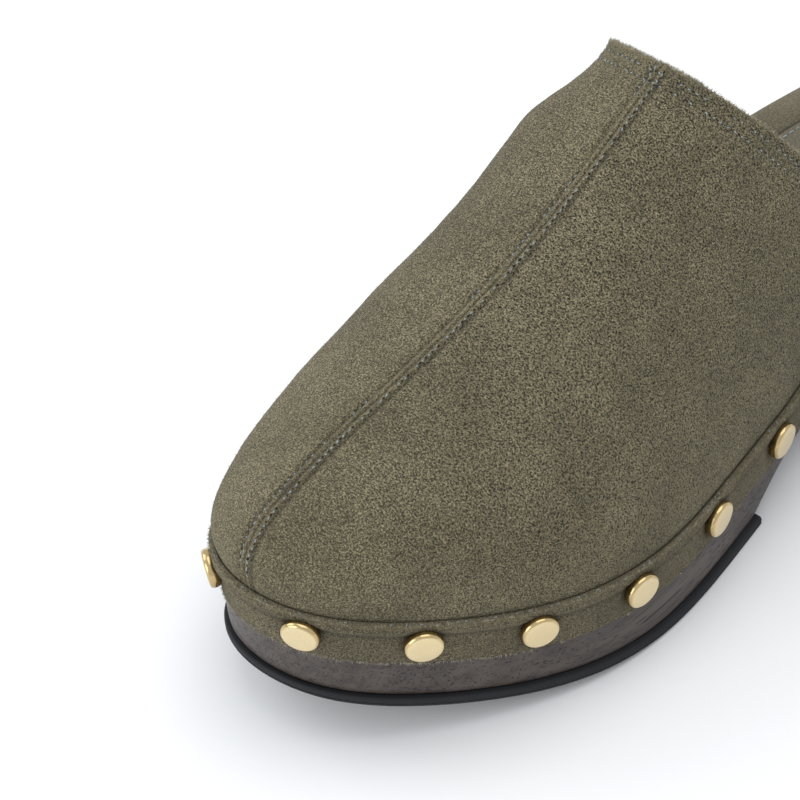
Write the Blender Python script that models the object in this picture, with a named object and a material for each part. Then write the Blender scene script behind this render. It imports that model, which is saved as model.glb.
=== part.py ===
"""A left-foot suede clog mule on a wooden sole, with a studded rand.

Toe towards -Y, lateral (little-toe) side towards +X, ground at Z = 0.
Sizes are in millimetres while the shapes are worked out and become metres in make_object().
s is the distance along the shoe, counted from near the toe tip towards the heel.
"""
import bmesh
import bpy
import numpy as np
from mathutils import Matrix, Vector

MM = 0.001

# overall sizes
LENGTH = 257.0
BALL_WIDTH = 99.0
TOE_SPRING = 17.6
VAMP_HEIGHT = 124.5
HEEL_TOP = 55.0

# plan outline: half-widths at 16 equal steps of the outline angle, for a ball width of 99
OUTLINE_X = (
    -10, 14.3, 34.9, 48.8, 44, 37.3, 32.6, 24.7, 2.5, -20.5, -28.5, -33, -40.5, -50.2, -47.5, -33.2,
)
OUTLINE_WIDTH = 99.0
TIP_S = -2.0

# levels of the side, above the curved bottom line
RAND_LOW = 15.8
RAND_TOP = 30.4
HEEL_LOW = 46.0

# materials' thicknesses and the clearance between neighbours
GAP = 0.3
SUEDE = 1.4
LINING = 0.8
PUFF = 0.9
RAND = 1.5
OUTSOLE = 3.2
TOP_LIFT = 5.0
BAND = 1.5
FOAM = 1.6
SOCK = 1.0

# how far the parts stand out from the outline
RAND_FACE = 0.6
WALL_IN = 0.5
BACK_IN = 1.9
OUTSOLE_OUT = 0.9
LEAN = 0.09


def along(share):
    """Place along the shoe, as a share of its length."""
    return TIP_S + share * LENGTH


# lengthwise places
FLAT_FROM = along(0.389)
RISE_FROM = along(0.5525)
RISE_TO = along(0.8444)
OUTSOLE_END = along(0.5175)
ARCH_TOP_S = along(0.6732)
BREAST_S = along(0.6926)
BREAST_RUN = 7.0
RAND_END = along(0.7393)
BAND_START = along(0.7510)
THROAT_S = along(0.5837)
TOE_SEAM_S = along(0.0700)
ARCH_RISE = 14.0
BAND_WIDTH = 15.0

# studs
STUD_COUNT = 14
STUD_FIRST_S = along(0.6710)
STUD_LAST_S = along(0.7110)
# each nail's own shift along the rand, from the even spacing, lateral rear first
STUD_SHIFT = (0.0, -1.4, 0.7, 1.8, 0.8, -0.9, -2.4, 1.5, 0.0, 0.8, -0.6, 0.5, -0.4, 0.0)
STUD_HEAD_R = 5.1
STUD_HEAD_T = 2.4
STUD_RIM = 0.7
STUD_RAISE = 0.9
STUD_SHANK_R = 0.8
STUD_SHANK_LEN = 7.5
STUD_TILT = 0.09
TURN_STEPS = 14

# steps of the vamp's grid, shared by its layers, and how many of them the toe puff covers
VAMP_COLUMNS = 21
VAMP_ROWS = 10
PUFF_COLUMNS = 6
PUFF_FROM_ROW = 2

COLLECTION = "wooden_clog"


# ---------------------------------------------------------------- lines of the shoe

def smooth(t):
    """Ease from 0 to 1 with level ends."""
    t = np.clip(t, 0.0, 1.0)
    return t * t * (3.0 - 2.0 * t)


def outline(angle, offset=0.0):
    """Closed plan outline: a smooth wave through the 16 half-widths, pushed out along its normal."""
    angle = np.asarray(angle, float)
    waves = np.fft.fft(np.array(OUTLINE_X, float) * BALL_WIDTH / OUTLINE_WIDTH) / len(OUTLINE_X)
    half = len(OUTLINE_X) // 2
    x = np.zeros_like(angle)
    dx = np.zeros_like(angle)
    for k in range(-half, half + 1):
        share = 0.5 if abs(k) == half else 1.0
        turn = share * waves[k % len(OUTLINE_X)] * np.exp(1j * k * angle)
        x = x + turn.real
        dx = dx + (1j * k * turn).real
    s = TIP_S + LENGTH * (1.0 - np.cos(angle)) / 2.0
    ds = LENGTH * np.sin(angle) / 2.0
    size = np.hypot(dx, ds)
    nx = ds / size
    ns = -dx / size
    return x + nx * offset, s + ns * offset, nx, ns


def angle_at(s):
    """Outline angle whose place along the shoe is s."""
    return np.arccos(np.clip(1.0 - 2.0 * (np.asarray(s, float) - TIP_S) / LENGTH, -1.0, 1.0))


def bottom_line(s):
    """Ground contact line with the toe spring."""
    return TOE_SPRING * (np.clip(FLAT_FROM - s, 0.0, None) / FLAT_FROM) ** 2


def rise(s):
    """Share of the climb from the forefoot to the heel seat."""
    return smooth((np.asarray(s, float) - RISE_FROM) / (RISE_TO - RISE_FROM))


def low_line(s):
    """Lower edge of the rand; behind the rand it steps up to the lower edge of the heel wrap band."""
    step = HEEL_LOW - RAND_LOW - (HEEL_TOP - RAND_TOP)
    return bottom_line(s) + RAND_LOW + (HEEL_TOP - RAND_TOP) * rise(s) + step * smooth((s - RAND_END) / 8.0)


def top_line(s):
    """Upper edge of the rand, and of the footbed behind it."""
    return bottom_line(s) + RAND_TOP + (HEEL_TOP - RAND_TOP) * rise(s)


def lean_at(z, s):
    """Sideways lean of the rand: its top stands further out than its foot."""
    return LEAN * (z - 0.5 * (low_line(s) + top_line(s)))


def underside(s):
    """Underside of the wood: flat forefoot, arched waist, steep breast, level heel seat."""
    seat = TOP_LIFT + GAP
    flat = bottom_line(s) + OUTSOLE + GAP
    arch = ARCH_RISE * np.sin(np.pi / 2 * np.clip((s - OUTSOLE_END + 2.0) / (ARCH_TOP_S - OUTSOLE_END), 0.0, 1.0))
    fall = smooth((s - BREAST_S) / BREAST_RUN)
    return (flat + arch) * (1.0 - fall) + seat * fall


def seam(s):
    """Centre seam: its sideways place, its height, and its slope."""
    scale = VAMP_HEIGHT / 124.5
    heights = np.array([70.5, 78.0, 86.0, 98.3, 124.5]) * scale
    places = np.array([TOE_SEAM_S, along(0.171), along(0.280), along(0.397), THROAT_S])
    curve = np.polyfit(places / 100.0, heights, 4)
    x = OUTLINE_X[0] * (1.0 - smooth(s / THROAT_S)) * BALL_WIDTH / OUTLINE_WIDTH
    return x, np.polyval(curve, s / 100.0), np.polyval(np.polyder(curve), s / 100.0) / 100.0


# ---------------------------------------------------------------- the vamp's surface

# handles of the section curves at the toe, in the middle and at the topline: rise, then reach
SECTION = {1: ((0.75, 0.50, 0.30), (0.30, 0.60, 0.80)), -1: ((0.75, 0.23, 0.91), (0.30, 0.32, 1.66))}
BULGE = 0.25
# how far both are drawn in over the last fifth of the vamp, up to the topline
DRAWN_IN = {1: (0.0, 0.0), -1: (0.43, 0.37)}
DRAWN_FROM = 0.84
SEAM_EASE = 1.3
UPPER_FACE = RAND_FACE - RAND - GAP


def blend3(values, u):
    """Quadratic blend of three values along the vamp."""
    return values[0] * (1 - u) ** 2 + 2 * values[1] * u * (1 - u) + values[2] * u * u


def vamp_point(u, v, side):
    """Outer face: v below 0 is the lasting margin, v from 0 to 1 climbs from the rand to the seam.

    Above the rand each section is a cubic curve from the sole edge to the centre seam.
    """
    angle = side * angle_at(RAND_END) * u
    x0, s0, nx, ns = outline(angle)
    top = top_line(s0)
    foot = underlap(s0)
    w = np.clip(v, 0.0, 1.0)[..., None]
    rise_by, reach_by = SECTION[side]
    face = UPPER_FACE + lean_at(top, s0)
    base = np.stack([x0 + nx * face, s0 + ns * face, top], -1)
    xt, zt, slope = seam(TOE_SEAM_S + (THROAT_S - TOE_SEAM_S) * u ** SEAM_EASE)
    st = TOE_SEAM_S + (THROAT_S - TOE_SEAM_S) * u ** SEAM_EASE
    near_throat = smooth((u - DRAWN_FROM) / (1.0 - DRAWN_FROM))
    less_rise, less_reach = DRAWN_IN[side]
    up = (blend3(rise_by, u) - less_rise * near_throat) * (zt - top)
    reach = blend3(reach_by, u) - less_reach * near_throat
    back = np.minimum(base[..., 1] - st, 0.0) * reach
    first = base + np.stack([nx * BULGE * up, ns * BULGE * up, up], -1)
    last = np.stack([xt, st, zt], -1)
    near = last + np.stack([(base[..., 0] - xt) * reach, back, slope * back], -1)
    body = (1 - w) ** 3 * base + 3 * (1 - w) ** 2 * w * first + 3 * (1 - w) * w * w * near + w ** 3 * last
    drop = np.clip(-v, 0.0, 1.0) * (top - foot)
    face_low = UPPER_FACE + lean_at(top - drop, s0)
    shift = face_low - face
    margin = np.stack([nx * shift, ns * shift, -drop], -1)
    return body + margin


def underlap(s):
    """Foot of the lasting margin, just above the ledge cut in the wood."""
    return low_line(s) + 1.0 + GAP


def vamp_normal(u, v, side):
    """Outward normal of vamp_point; on the seam it stays in the seam's upright plane."""
    step = 1e-3
    vv = np.where(v > 1 - step, 1 - step, v)
    uu = np.clip(u, step, 1 - step)
    du = vamp_point(uu + step, vv, side) - vamp_point(uu - step, vv, side)
    dv = vamp_point(uu, vv + step, side) - vamp_point(uu, vv - step, side)
    n = np.cross(du, dv) * side
    n /= np.linalg.norm(n, axis=-1, keepdims=True)
    along = vamp_point(u, np.minimum(v + step, 1.0), 1) - vamp_point(u, np.minimum(v + step, 1.0) - 2 * step, 1)
    toe = np.stack([0 * u, -along[..., 2], along[..., 1]], -1)
    toe /= np.linalg.norm(toe, axis=-1, keepdims=True)
    _, _, slope = seam(TOE_SEAM_S + (THROAT_S - TOE_SEAM_S) * u ** SEAM_EASE)
    ridge = np.stack([0 * u, -slope, 1 + 0 * u], -1)
    ridge /= np.linalg.norm(ridge, axis=-1, keepdims=True)
    n = np.where((v > 1 - step)[..., None], ridge, n)
    return np.where((u < step)[..., None] & (v < 1 - step)[..., None], toe, n)


# ---------------------------------------------------------------- mesh helpers

def add_layers(mesh, layers, weld=False):
    """Closed body between the first and the last grid; the grids between give the edge its steps.

    Each square is split along the same diagonal in every grid, so that neighbours stay parallel.
    With weld, the first row and the last column are left open to be joined to a mirror half.
    """
    grids = [[[mesh.verts.new(Vector(p)) for p in row] for row in grid] for grid in np.asarray(layers)]
    rows = len(grids[0])
    cols = len(grids[0][0])
    for grid, flip in ((grids[0], True), (grids[-1], False)):
        for i in range(rows - 1):
            for j in range(cols - 1):
                a, b, c, d = grid[i][j], grid[i + 1][j], grid[i + 1][j + 1], grid[i][j + 1]
                for face in ((a, b, d), (b, c, d)):
                    mesh.faces.new(face[::-1] if flip else face)
    rim = [(i, 0) for i in range(rows)] + [(rows - 1, j) for j in range(1, cols)]
    if not weld:
        rim += [(i, cols - 1) for i in range(rows - 2, -1, -1)]
        rim += [(0, j) for j in range(cols - 2, 0, -1)]
        rim.append(rim[0])
    for low, high in zip(grids[:-1], grids[1:]):
        for (i, j), (k, m) in zip(rim[:-1], rim[1:]):
            mesh.faces.new([low[i][j], low[k][m], high[k][m], high[i][j]])


def make_object(name, mesh, colour, roughness, metallic=0.0, smooth_faces=True):
    """Turn the millimetre mesh into a named object in metres with its own material."""
    bmesh.ops.transform(mesh, matrix=Matrix.Scale(MM, 4), verts=mesh.verts)
    bmesh.ops.recalc_face_normals(mesh, faces=mesh.faces)
    data = bpy.data.meshes.new(name)
    mesh.to_mesh(data)
    if mesh.calc_volume(signed=True) < 0:
        data.flip_normals()
    mesh.free()
    for polygon in data.polygons:
        polygon.use_smooth = smooth_faces
    obj = bpy.data.objects.new(name, data)
    bpy.data.collections[COLLECTION].objects.link(obj)
    material = bpy.data.materials.new(name)
    material.use_nodes = True
    shader = material.node_tree.nodes["Principled BSDF"]
    shader.inputs["Base Color"].default_value = (*colour, 1.0)
    shader.inputs["Roughness"].default_value = roughness
    shader.inputs["Metallic"].default_value = metallic
    data.materials.append(material)
    return obj


def body_from_layers(name, layers, colour, roughness):
    mesh = bmesh.new()
    add_layers(mesh, layers)
    return make_object(name, mesh, colour, roughness)


# ---------------------------------------------------------------- sole parts

ACROSS = 5
TIP_ANGLE = np.radians(3.0)
STEP_COUNT = 40


def stations(first_s, last_s, extra=()):
    """Outline angles from one place along the shoe to another, denser at the tips."""
    first = TIP_ANGLE if first_s is None else angle_at(first_s)
    last = np.pi - TIP_ANGLE if last_s is None else angle_at(last_s)
    count = max(6, int(STEP_COUNT * (last - first) / np.pi))
    return np.unique(np.concatenate([np.linspace(first, last, count), angle_at(np.array(extra, float))]))


def plan_grid(angles, offset, height, level_rows=False):
    """Grid over the plan outline: straight lines from the medial to the lateral wall.

    With level_rows the height is read where the row meets the outline, as the rand's is.
    """
    xl, sl, _, _ = outline(angles, offset)
    xm, sm, _, _ = outline(-angles, offset)
    f = np.linspace(0.0, 1.0, ACROSS + 1)
    x = xm[:, None] * (1 - f) + xl[:, None] * f
    s = sm[:, None] * (1 - f) + sl[:, None] * f
    z = height((0 * s + (TIP_S + LENGTH * (1 - np.cos(angles)) / 2)[:, None]) if level_rows else s)
    return np.stack([x, s, z], -1)


def rebate_depth(s):
    """Depth of the ledge for the upper's margin and the rand; it fades out under the heel band."""
    deep = -(UPPER_FACE - SUEDE - GAP - LINING - GAP)
    return deep + (BACK_IN + 0.5 - deep) * smooth((s - RAND_END - 1.0) / 8.0)


def make_wood_sole():
    angles = stations(None, None, (
        OUTSOLE_END - 2, OUTSOLE_END, OUTSOLE_END + 3, BREAST_S, BREAST_S + 2, BREAST_S + 4, BREAST_S + 5.5,
        BREAST_S + 7, RAND_END - 2, RAND_END, RAND_END + 1, RAND_END + 2,
    ))
    s = TIP_S + LENGTH * (1 - np.cos(angles)) / 2
    depth = rebate_depth(s)
    tuck = lean_at(top_line(s), s)
    heel = rise(s)
    chamfer_in = 0.6 + 2.4 * heel
    chamfer_down = 0.6 + 3.4 * heel
    drop = GAP + FOAM + GAP + SOCK - 0.2
    layers = [
        plan_grid(angles, -WALL_IN - 1.0, underside),
        plan_grid(angles, -WALL_IN, lambda q: underside(q) + 1.0),
        plan_grid(angles, -WALL_IN, lambda q: low_line(q) - GAP, level_rows=True),
        plan_grid(angles, -BACK_IN, lambda q: low_line(q) - GAP, level_rows=True),
        plan_grid(angles, -BACK_IN, lambda q: low_line(q) + 1.0, level_rows=True),
        plan_grid(angles, -depth - tuck, lambda q: low_line(q) + 1.0, level_rows=True),
        plan_grid(angles, -depth, lambda q: top_line(q) - drop - chamfer_down[:, None]),
        plan_grid(angles, -depth - chamfer_in, lambda q: top_line(q) - drop),
    ]
    body_from_layers("wood_sole", layers, (0.075, 0.05, 0.038), 0.5)


def make_forefoot_outsole():
    angles = stations(None, OUTSOLE_END)
    layers = [
        plan_grid(angles, OUTSOLE_OUT - 0.8, bottom_line),
        plan_grid(angles, OUTSOLE_OUT, lambda q: bottom_line(q) + 0.7),
        plan_grid(angles, OUTSOLE_OUT, lambda q: bottom_line(q) + OUTSOLE - 0.6),
        plan_grid(angles, OUTSOLE_OUT - 0.7, lambda q: bottom_line(q) + OUTSOLE),
    ]
    body_from_layers("forefoot_outsole", layers, (0.02, 0.02, 0.022), 0.75)


def make_heel_top_lift():
    angles = stations(BREAST_S + BREAST_RUN, None)
    layers = [
        plan_grid(angles, -WALL_IN - 0.5, lambda q: 0 * q),
        plan_grid(angles, -WALL_IN, lambda q: 0 * q + 0.6),
        plan_grid(angles, -WALL_IN, lambda q: 0 * q + TOP_LIFT),
    ]
    body_from_layers("heel_top_lift", layers, (0.02, 0.02, 0.022), 0.75)


def make_footbed():
    """Foam cushion over the whole wood top, and the smooth sock over it inside the heel band."""
    foam_base = GAP + FOAM + SOCK - 0.2
    angles = stations(None, None)
    foam = [
        plan_grid(angles, -6.2, lambda q: top_line(q) - foam_base),
        plan_grid(angles, -6.2, lambda q: top_line(q) - foam_base + FOAM),
    ]
    body_from_layers("footbed_foam", foam, (0.75, 0.72, 0.6), 0.9)
    angles = stations(None, None, (RAND_END - 2, RAND_END, RAND_END + 2, BAND_START))
    s = TIP_S + LENGTH * (1 - np.cos(angles)) / 2
    inset = -5.0 - (BAND_WIDTH + GAP - 5.0) * smooth((s - RAND_END + 10.0) / 12.0)
    sock = [
        plan_grid(angles, inset, lambda q: top_line(q) - SOCK + 0.1),
        plan_grid(angles, inset, lambda q: top_line(q) + 0.1),
    ]
    body_from_layers("footbed_sock", sock, (0.13, 0.125, 0.08), 0.6)


# ---------------------------------------------------------------- suede parts

def path_strip(angles, outer, inner):
    """Two grids along the outline from (offset, height) pairs that follow the rand's lean."""
    grids = []
    for rows in (inner, outer):
        points = []
        for offset, z_of in rows:
            _, s0, _, _ = outline(angles)
            z = z_of(s0)
            x, s, _, _ = outline(angles, offset + lean_at(z, s0))
            points.append(np.stack([x, s, z], -1))
        grids.append(np.stack(points, 1))
    return grids


def make_rand_strip():
    angles = np.linspace(angle_at(RAND_END), -angle_at(RAND_END), 59)
    rows = (
        (-0.2, low_line, 0.0), (0.0, low_line, 0.7), (0.0, top_line, -2.6), (0.1, top_line, -2.0),
        (0.15, top_line, -1.4), (0.0, top_line, -0.8), (-0.5, top_line, -0.4),
    )
    outer = [(RAND_FACE + d, lambda q, line=line, up=up: line(q) + up) for d, line, up in rows]
    inner = [(RAND_FACE - RAND, lambda q, line=line, up=up: line(q) + up) for d, line, up in rows]
    body_from_layers("rand_strip", path_strip(angles, outer, inner), (0.16, 0.135, 0.08), 0.95)


def make_heel_wrap_band():
    angles = np.linspace(angle_at(BAND_START), 2 * np.pi - angle_at(BAND_START), 35)
    rows = (
        (-15.0, 0.4), (-10.0, 1.0), (-6.0, 0.6), (-2.9, -0.7), (-0.8, -2.7), (0.1, -5.0), (0.3, -7.4), (0.2, -9.0),
    )
    inner_rows = (
        (-15.0, 0.4 - BAND), (-10.0, 1.0 - BAND), (-6.4, 0.6 - BAND), (-3.9, -1.9), (-2.2, -3.4),
        (0.1 - BAND, -5.2), (0.3 - BAND, -7.4), (0.2 - BAND, -9.0),
    )
    grids = []
    for section in (inner_rows, rows):
        points = []
        for offset, up in section:
            x, s, _, _ = outline(angles, offset)
            _, s0, _, _ = outline(angles)
            points.append(np.stack([x, s, top_line(s0) + up], -1))
        grids.append(np.stack(points, 1))
    body_from_layers("heel_wrap_band", grids, (0.16, 0.135, 0.08), 0.95)


def vamp_layers(u, v, side, outer, inner, seam_gap):
    """Inner and outer grids of one vamp layer; outer and inner are depths below the suede's face."""
    uu, vv = np.meshgrid(u, v, indexing="ij")
    points = vamp_point(uu, vv, side)
    normals = vamp_normal(uu, vv, side)
    layers = []
    for depth in (inner, outer):
        amount = depth(uu, vv) if callable(depth) else np.full_like(uu, depth)
        grid = points - normals * amount[..., None]
        grid[..., 0] += side * seam_gap / 2 * ((vv >= 1.0) | (uu <= 0.0))
        layers.append(grid)
    return layers


MARGIN_ROWS = (-1.0, -0.5)
VAMP_U = np.linspace(0.0, 1.0, VAMP_COLUMNS + 1)
VAMP_V = np.concatenate([MARGIN_ROWS, np.linspace(0.0, 1.0, VAMP_ROWS + 1)])
PUFF_U = VAMP_U[:PUFF_COLUMNS + 1]
PUFF_V = VAMP_V[len(MARGIN_ROWS) + PUFF_FROM_ROW:]


def make_upper(name, side):
    body_from_layers(name, vamp_layers(VAMP_U, VAMP_V, side, 0.0, SUEDE, GAP), (0.16, 0.135, 0.08), 0.95)


def lining_depth(u, v):
    """The lining lies on the suede, and behind the toe puff it makes room for it."""
    beyond = PUFF_U[-1] + 1.0 / VAMP_COLUMNS
    over_puff = 1.0 - smooth((u - beyond) / 0.12)
    return SUEDE + GAP + (PUFF + GAP) * over_puff * smooth(v / PUFF_V[0] * 2.0)


def make_welded(name, u, v, outer, inner, colour, roughness):
    """Both halves of a layer in one piece, joined along the centre line."""
    mesh = bmesh.new()
    for side in (1, -1):
        add_layers(mesh, vamp_layers(u, v, side, outer, inner, 0.0), weld=True)
    bmesh.ops.remove_doubles(mesh, verts=mesh.verts, dist=0.0005)
    make_object(name, mesh, colour, roughness)


def make_toe_puff():
    make_welded("toe_puff", PUFF_U, PUFF_V, SUEDE + GAP, SUEDE + GAP + PUFF, (0.7, 0.66, 0.55), 0.8)


def make_vamp_lining():
    inner = lambda a, b: lining_depth(a, b) + LINING
    make_welded("vamp_lining", VAMP_U, VAMP_V, lining_depth, inner, (0.55, 0.47, 0.34), 0.7)


# ---------------------------------------------------------------- studs

def stud_frames():
    """Place and direction of each stud: evenly spaced along the rand, square to its face."""
    fine = np.linspace(angle_at(STUD_FIRST_S), -angle_at(STUD_LAST_S), 1500)
    x, s, _, _ = outline(fine, RAND_FACE)
    run = np.concatenate([[0.0], np.cumsum(np.hypot(np.diff(x), np.diff(s)))])
    places = np.linspace(0.0, run[-1], STUD_COUNT) + np.resize(STUD_SHIFT, STUD_COUNT)
    angles = np.interp(places, run, fine)
    x, s, nx, ns = outline(angles, RAND_FACE)
    middle = 0.5 * (low_line(s) + top_line(s))
    z = middle + STUD_RAISE
    climb = (0.5 * (low_line(s + 0.5) + top_line(s + 0.5)) - middle) * 2.0 * nx * LEAN
    out = np.stack([nx - ns * climb, ns + nx * climb, np.full_like(nx, -STUD_TILT)], -1)
    out /= np.linalg.norm(out, axis=-1, keepdims=True)
    return [(Vector(p), Vector(n)) for p, n in zip(np.stack([x, s, z], -1), out)]


def turned(mesh, profile, place, direction, steps):
    """Profile of (radius, height) pairs turned about the direction, closed at both ends."""
    turn = direction.to_track_quat("Z", "Y").to_matrix().to_4x4()
    frame = Matrix.Translation(place) @ turn
    rings = []
    for radius, height in profile:
        made = bmesh.ops.create_circle(mesh, segments=steps, radius=radius,
                                       matrix=frame @ Matrix.Translation((0, 0, height)))
        rings.append(made["verts"])
    for low, high in zip(rings[:-1], rings[1:]):
        for k in range(steps):
            m = (k + 1) % steps
            mesh.faces.new([low[k], low[m], high[m], high[k]])
    mesh.faces.new(rings[0][::-1])
    mesh.faces.new(rings[-1])


def make_studs(frames):
    profile = (
        (0.25, -STUD_SHANK_LEN), (STUD_SHANK_R, -STUD_SHANK_LEN + 2.0), (STUD_SHANK_R, GAP),
        (STUD_HEAD_R - 0.3, GAP), (STUD_HEAD_R, GAP + 0.3), (STUD_HEAD_R, GAP + STUD_HEAD_T - STUD_RIM),
        (STUD_HEAD_R - 0.3 * STUD_RIM, GAP + STUD_HEAD_T - 0.3 * STUD_RIM), (STUD_HEAD_R - STUD_RIM, GAP + STUD_HEAD_T),
    )
    for number, (place, direction) in enumerate(frames, start=1):
        mesh = bmesh.new()
        turned(mesh, profile, place, direction, TURN_STEPS)
        make_object(f"stud_{number:02d}", mesh, (0.75, 0.56, 0.28), 0.25, 1.0)


def make_shank_cutter(frames):
    """Holes for all the shanks, a clearance wider than each."""
    mesh = bmesh.new()
    radius = STUD_SHANK_R + GAP
    for place, direction in frames:
        turned(mesh, ((radius, -STUD_SHANK_LEN - GAP), (radius, 2.0)), place, direction, 8)
    bmesh.ops.transform(mesh, matrix=Matrix.Scale(MM, 4), verts=mesh.verts)
    bmesh.ops.recalc_face_normals(mesh, faces=mesh.faces)
    data = bpy.data.meshes.new("shank_cutter")
    mesh.to_mesh(data)
    mesh.free()
    cutter = bpy.data.objects.new("shank_cutter", data)
    bpy.data.collections["cutters"].objects.link(cutter)
    cutter.hide_render = True
    cutter.display_type = "WIRE"
    return cutter


def drill(cutter, names):
    for name in names:
        hole = bpy.data.objects[name].modifiers.new("shank_holes", "BOOLEAN")
        hole.operation = "DIFFERENCE"
        hole.solver = "EXACT"
        hole.object = cutter


def centre_on_floor():
    """Move the finished shoe so that the middle of its box stands on the origin."""
    bpy.context.view_layer.update()
    parts = list(bpy.data.collections[COLLECTION].objects)
    spots = np.concatenate([[obj.matrix_world @ v.co for v in obj.data.vertices] for obj in parts])
    low = spots.min(axis=0)
    high = spots.max(axis=0)
    shift = Vector((-(low[0] + high[0]) / 2, -(low[1] + high[1]) / 2, -low[2]))
    for obj in parts + list(bpy.data.collections["cutters"].objects):
        obj.data.transform(Matrix.Translation(shift))


def main():
    for obj in list(bpy.data.objects):
        bpy.data.objects.remove(obj)
    for name in (COLLECTION, "cutters"):
        bpy.context.scene.collection.children.link(bpy.data.collections.new(name))
    make_wood_sole()
    make_forefoot_outsole()
    make_heel_top_lift()
    make_footbed()
    make_upper("upper_lateral", 1)
    make_upper("upper_medial", -1)
    make_toe_puff()
    make_vamp_lining()
    make_rand_strip()
    make_heel_wrap_band()
    frames = stud_frames()
    make_studs(frames)
    cutter = make_shank_cutter(frames)
    drill(cutter, ("rand_strip", "upper_lateral", "upper_medial", "vamp_lining", "wood_sole"))
    centre_on_floor()


main()
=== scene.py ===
"""Looks of the suede clog mule: napped suede over a stained wooden sole, brass studs, rubber underneath.

Toe towards -Y, lateral side towards +X, ground at Z = 0. Shapes are worked out in millimetres, in the
shoe's own coordinates (x sideways, s along the shoe from the toe, z up), and laid into the frame at the end.
"""

import bpy
import numpy as np
from mathutils import Matrix, Vector
from mathutils.bvhtree import BVHTree


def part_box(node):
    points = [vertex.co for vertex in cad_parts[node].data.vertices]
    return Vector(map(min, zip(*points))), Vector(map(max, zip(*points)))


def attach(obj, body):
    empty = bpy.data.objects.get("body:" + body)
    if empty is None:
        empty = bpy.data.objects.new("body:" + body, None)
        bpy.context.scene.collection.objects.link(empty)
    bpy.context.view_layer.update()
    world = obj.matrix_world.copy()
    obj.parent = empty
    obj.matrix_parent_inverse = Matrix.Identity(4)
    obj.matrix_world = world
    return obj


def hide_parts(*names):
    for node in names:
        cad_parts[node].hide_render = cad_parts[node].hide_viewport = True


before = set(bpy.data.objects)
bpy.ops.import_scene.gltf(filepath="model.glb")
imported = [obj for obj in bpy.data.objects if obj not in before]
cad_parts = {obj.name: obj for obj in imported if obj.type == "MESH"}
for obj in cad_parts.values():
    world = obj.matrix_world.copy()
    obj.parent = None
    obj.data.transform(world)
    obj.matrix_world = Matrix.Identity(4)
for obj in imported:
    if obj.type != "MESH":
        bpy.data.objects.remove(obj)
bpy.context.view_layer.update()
RNG = np.random.default_rng(41)
MM = 0.001

# driving dimensions of the part, in millimetres
LENGTH = 257.0
TOE_SPRING = 17.6
VAMP_HEIGHT = 124.5
HEEL_TOP = 55.0
OUTLINE_X = (-10, 14.3, 34.9, 48.8, 44, 37.3, 32.6, 24.7, 2.5, -20.5, -28.5, -33, -40.5, -50.2, -47.5, -33.2)
TIP_S = -2.0
RAND_LOW = 15.8
RAND_TOP = 30.4
HEEL_LOW = 46.0
GAP = 0.3
SUEDE = 1.4
LINING = 0.8
PUFF = 0.9
RAND = 1.5
OUTSOLE = 3.2
TOP_LIFT = 5.0
FOAM = 1.6
SOCK = 1.0
RAND_FACE = 0.6
WALL_IN = 0.5
BACK_IN = 1.9
OUTSOLE_OUT = 0.9
LEAN = 0.09
FLAT_FROM = 98.0
RISE_FROM = 140.0
RISE_TO = 215.0
OUTSOLE_END = 131.0
ARCH_TOP_S = 171.0
BREAST_S = 176.0
BREAST_RUN = 7.0
RAND_END = 188.0
THROAT_S = 148.0
TOE_SEAM_S = 16.0
ARCH_RISE = 14.0
BAND_WIDTH = 15.0
STUD_COUNT = 14
STUD_FIRST_S = 170.4
STUD_LAST_S = 180.7
STUD_SHIFT = (0.0, -1.4, 0.7, 1.8, 0.8, -0.9, -2.4, 1.5, 0.0, 0.8, -0.6, 0.5, -0.4, 0.0)
STUD_TILT = 0.09
STUD_RAISE = 0.9
STUD_TURNS = 44
UPPER_FACE = RAND_FACE - RAND - GAP

# sewing
SEAM_ROW = 2.1
SEAM_PITCH = 2.15
TOP_ROWS = (2.6, 5.6)
TOP_PITCH = 2.3
SOCK_ROW = 2.0
SOCK_PITCH = 2.6


# ---------------------------------------------------------------- lines of the shoe

def smooth(t):
    """Ease from 0 to 1 with level ends."""
    t = np.clip(t, 0.0, 1.0)
    return t * t * (3.0 - 2.0 * t)


def outline(angle, offset=0.0):
    """Closed plan outline: a smooth wave through the 16 half-widths, pushed out along its normal."""
    angle = np.asarray(angle, float)
    waves = np.fft.fft(np.array(OUTLINE_X, float)) / len(OUTLINE_X)
    half = len(OUTLINE_X) // 2
    x = np.zeros_like(angle)
    dx = np.zeros_like(angle)
    for k in range(-half, half + 1):
        share = 0.5 if abs(k) == half else 1.0
        turn = share * waves[k % len(OUTLINE_X)] * np.exp(1j * k * angle)
        x = x + turn.real
        dx = dx + (1j * k * turn).real
    s = TIP_S + LENGTH * (1.0 - np.cos(angle)) / 2.0
    ds = LENGTH * np.sin(angle) / 2.0
    size = np.hypot(dx, ds)
    nx = ds / size
    ns = -dx / size
    return x + nx * offset, s + ns * offset, nx, ns


def angle_at(s):
    """Outline angle whose place along the shoe is s."""
    return np.arccos(np.clip(1.0 - 2.0 * (np.asarray(s, float) - TIP_S) / LENGTH, -1.0, 1.0))


def bottom_line(s):
    """Ground contact line with the toe spring: a parabola that starts where the sole leaves the ground."""
    return TOE_SPRING * (np.clip(FLAT_FROM - s, 0.0, None) / FLAT_FROM) ** 2


def rise(s):
    """Share of the climb from the forefoot to the heel seat."""
    return smooth((np.asarray(s, float) - RISE_FROM) / (RISE_TO - RISE_FROM))


def low_line(s):
    """Lower edge of the rand, stepping up behind it to the lower edge of the heel's padded edge."""
    step = HEEL_LOW - RAND_LOW - (HEEL_TOP - RAND_TOP)
    return bottom_line(s) + RAND_LOW + (HEEL_TOP - RAND_TOP) * rise(s) + step * smooth((s - RAND_END) / 8.0)


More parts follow.
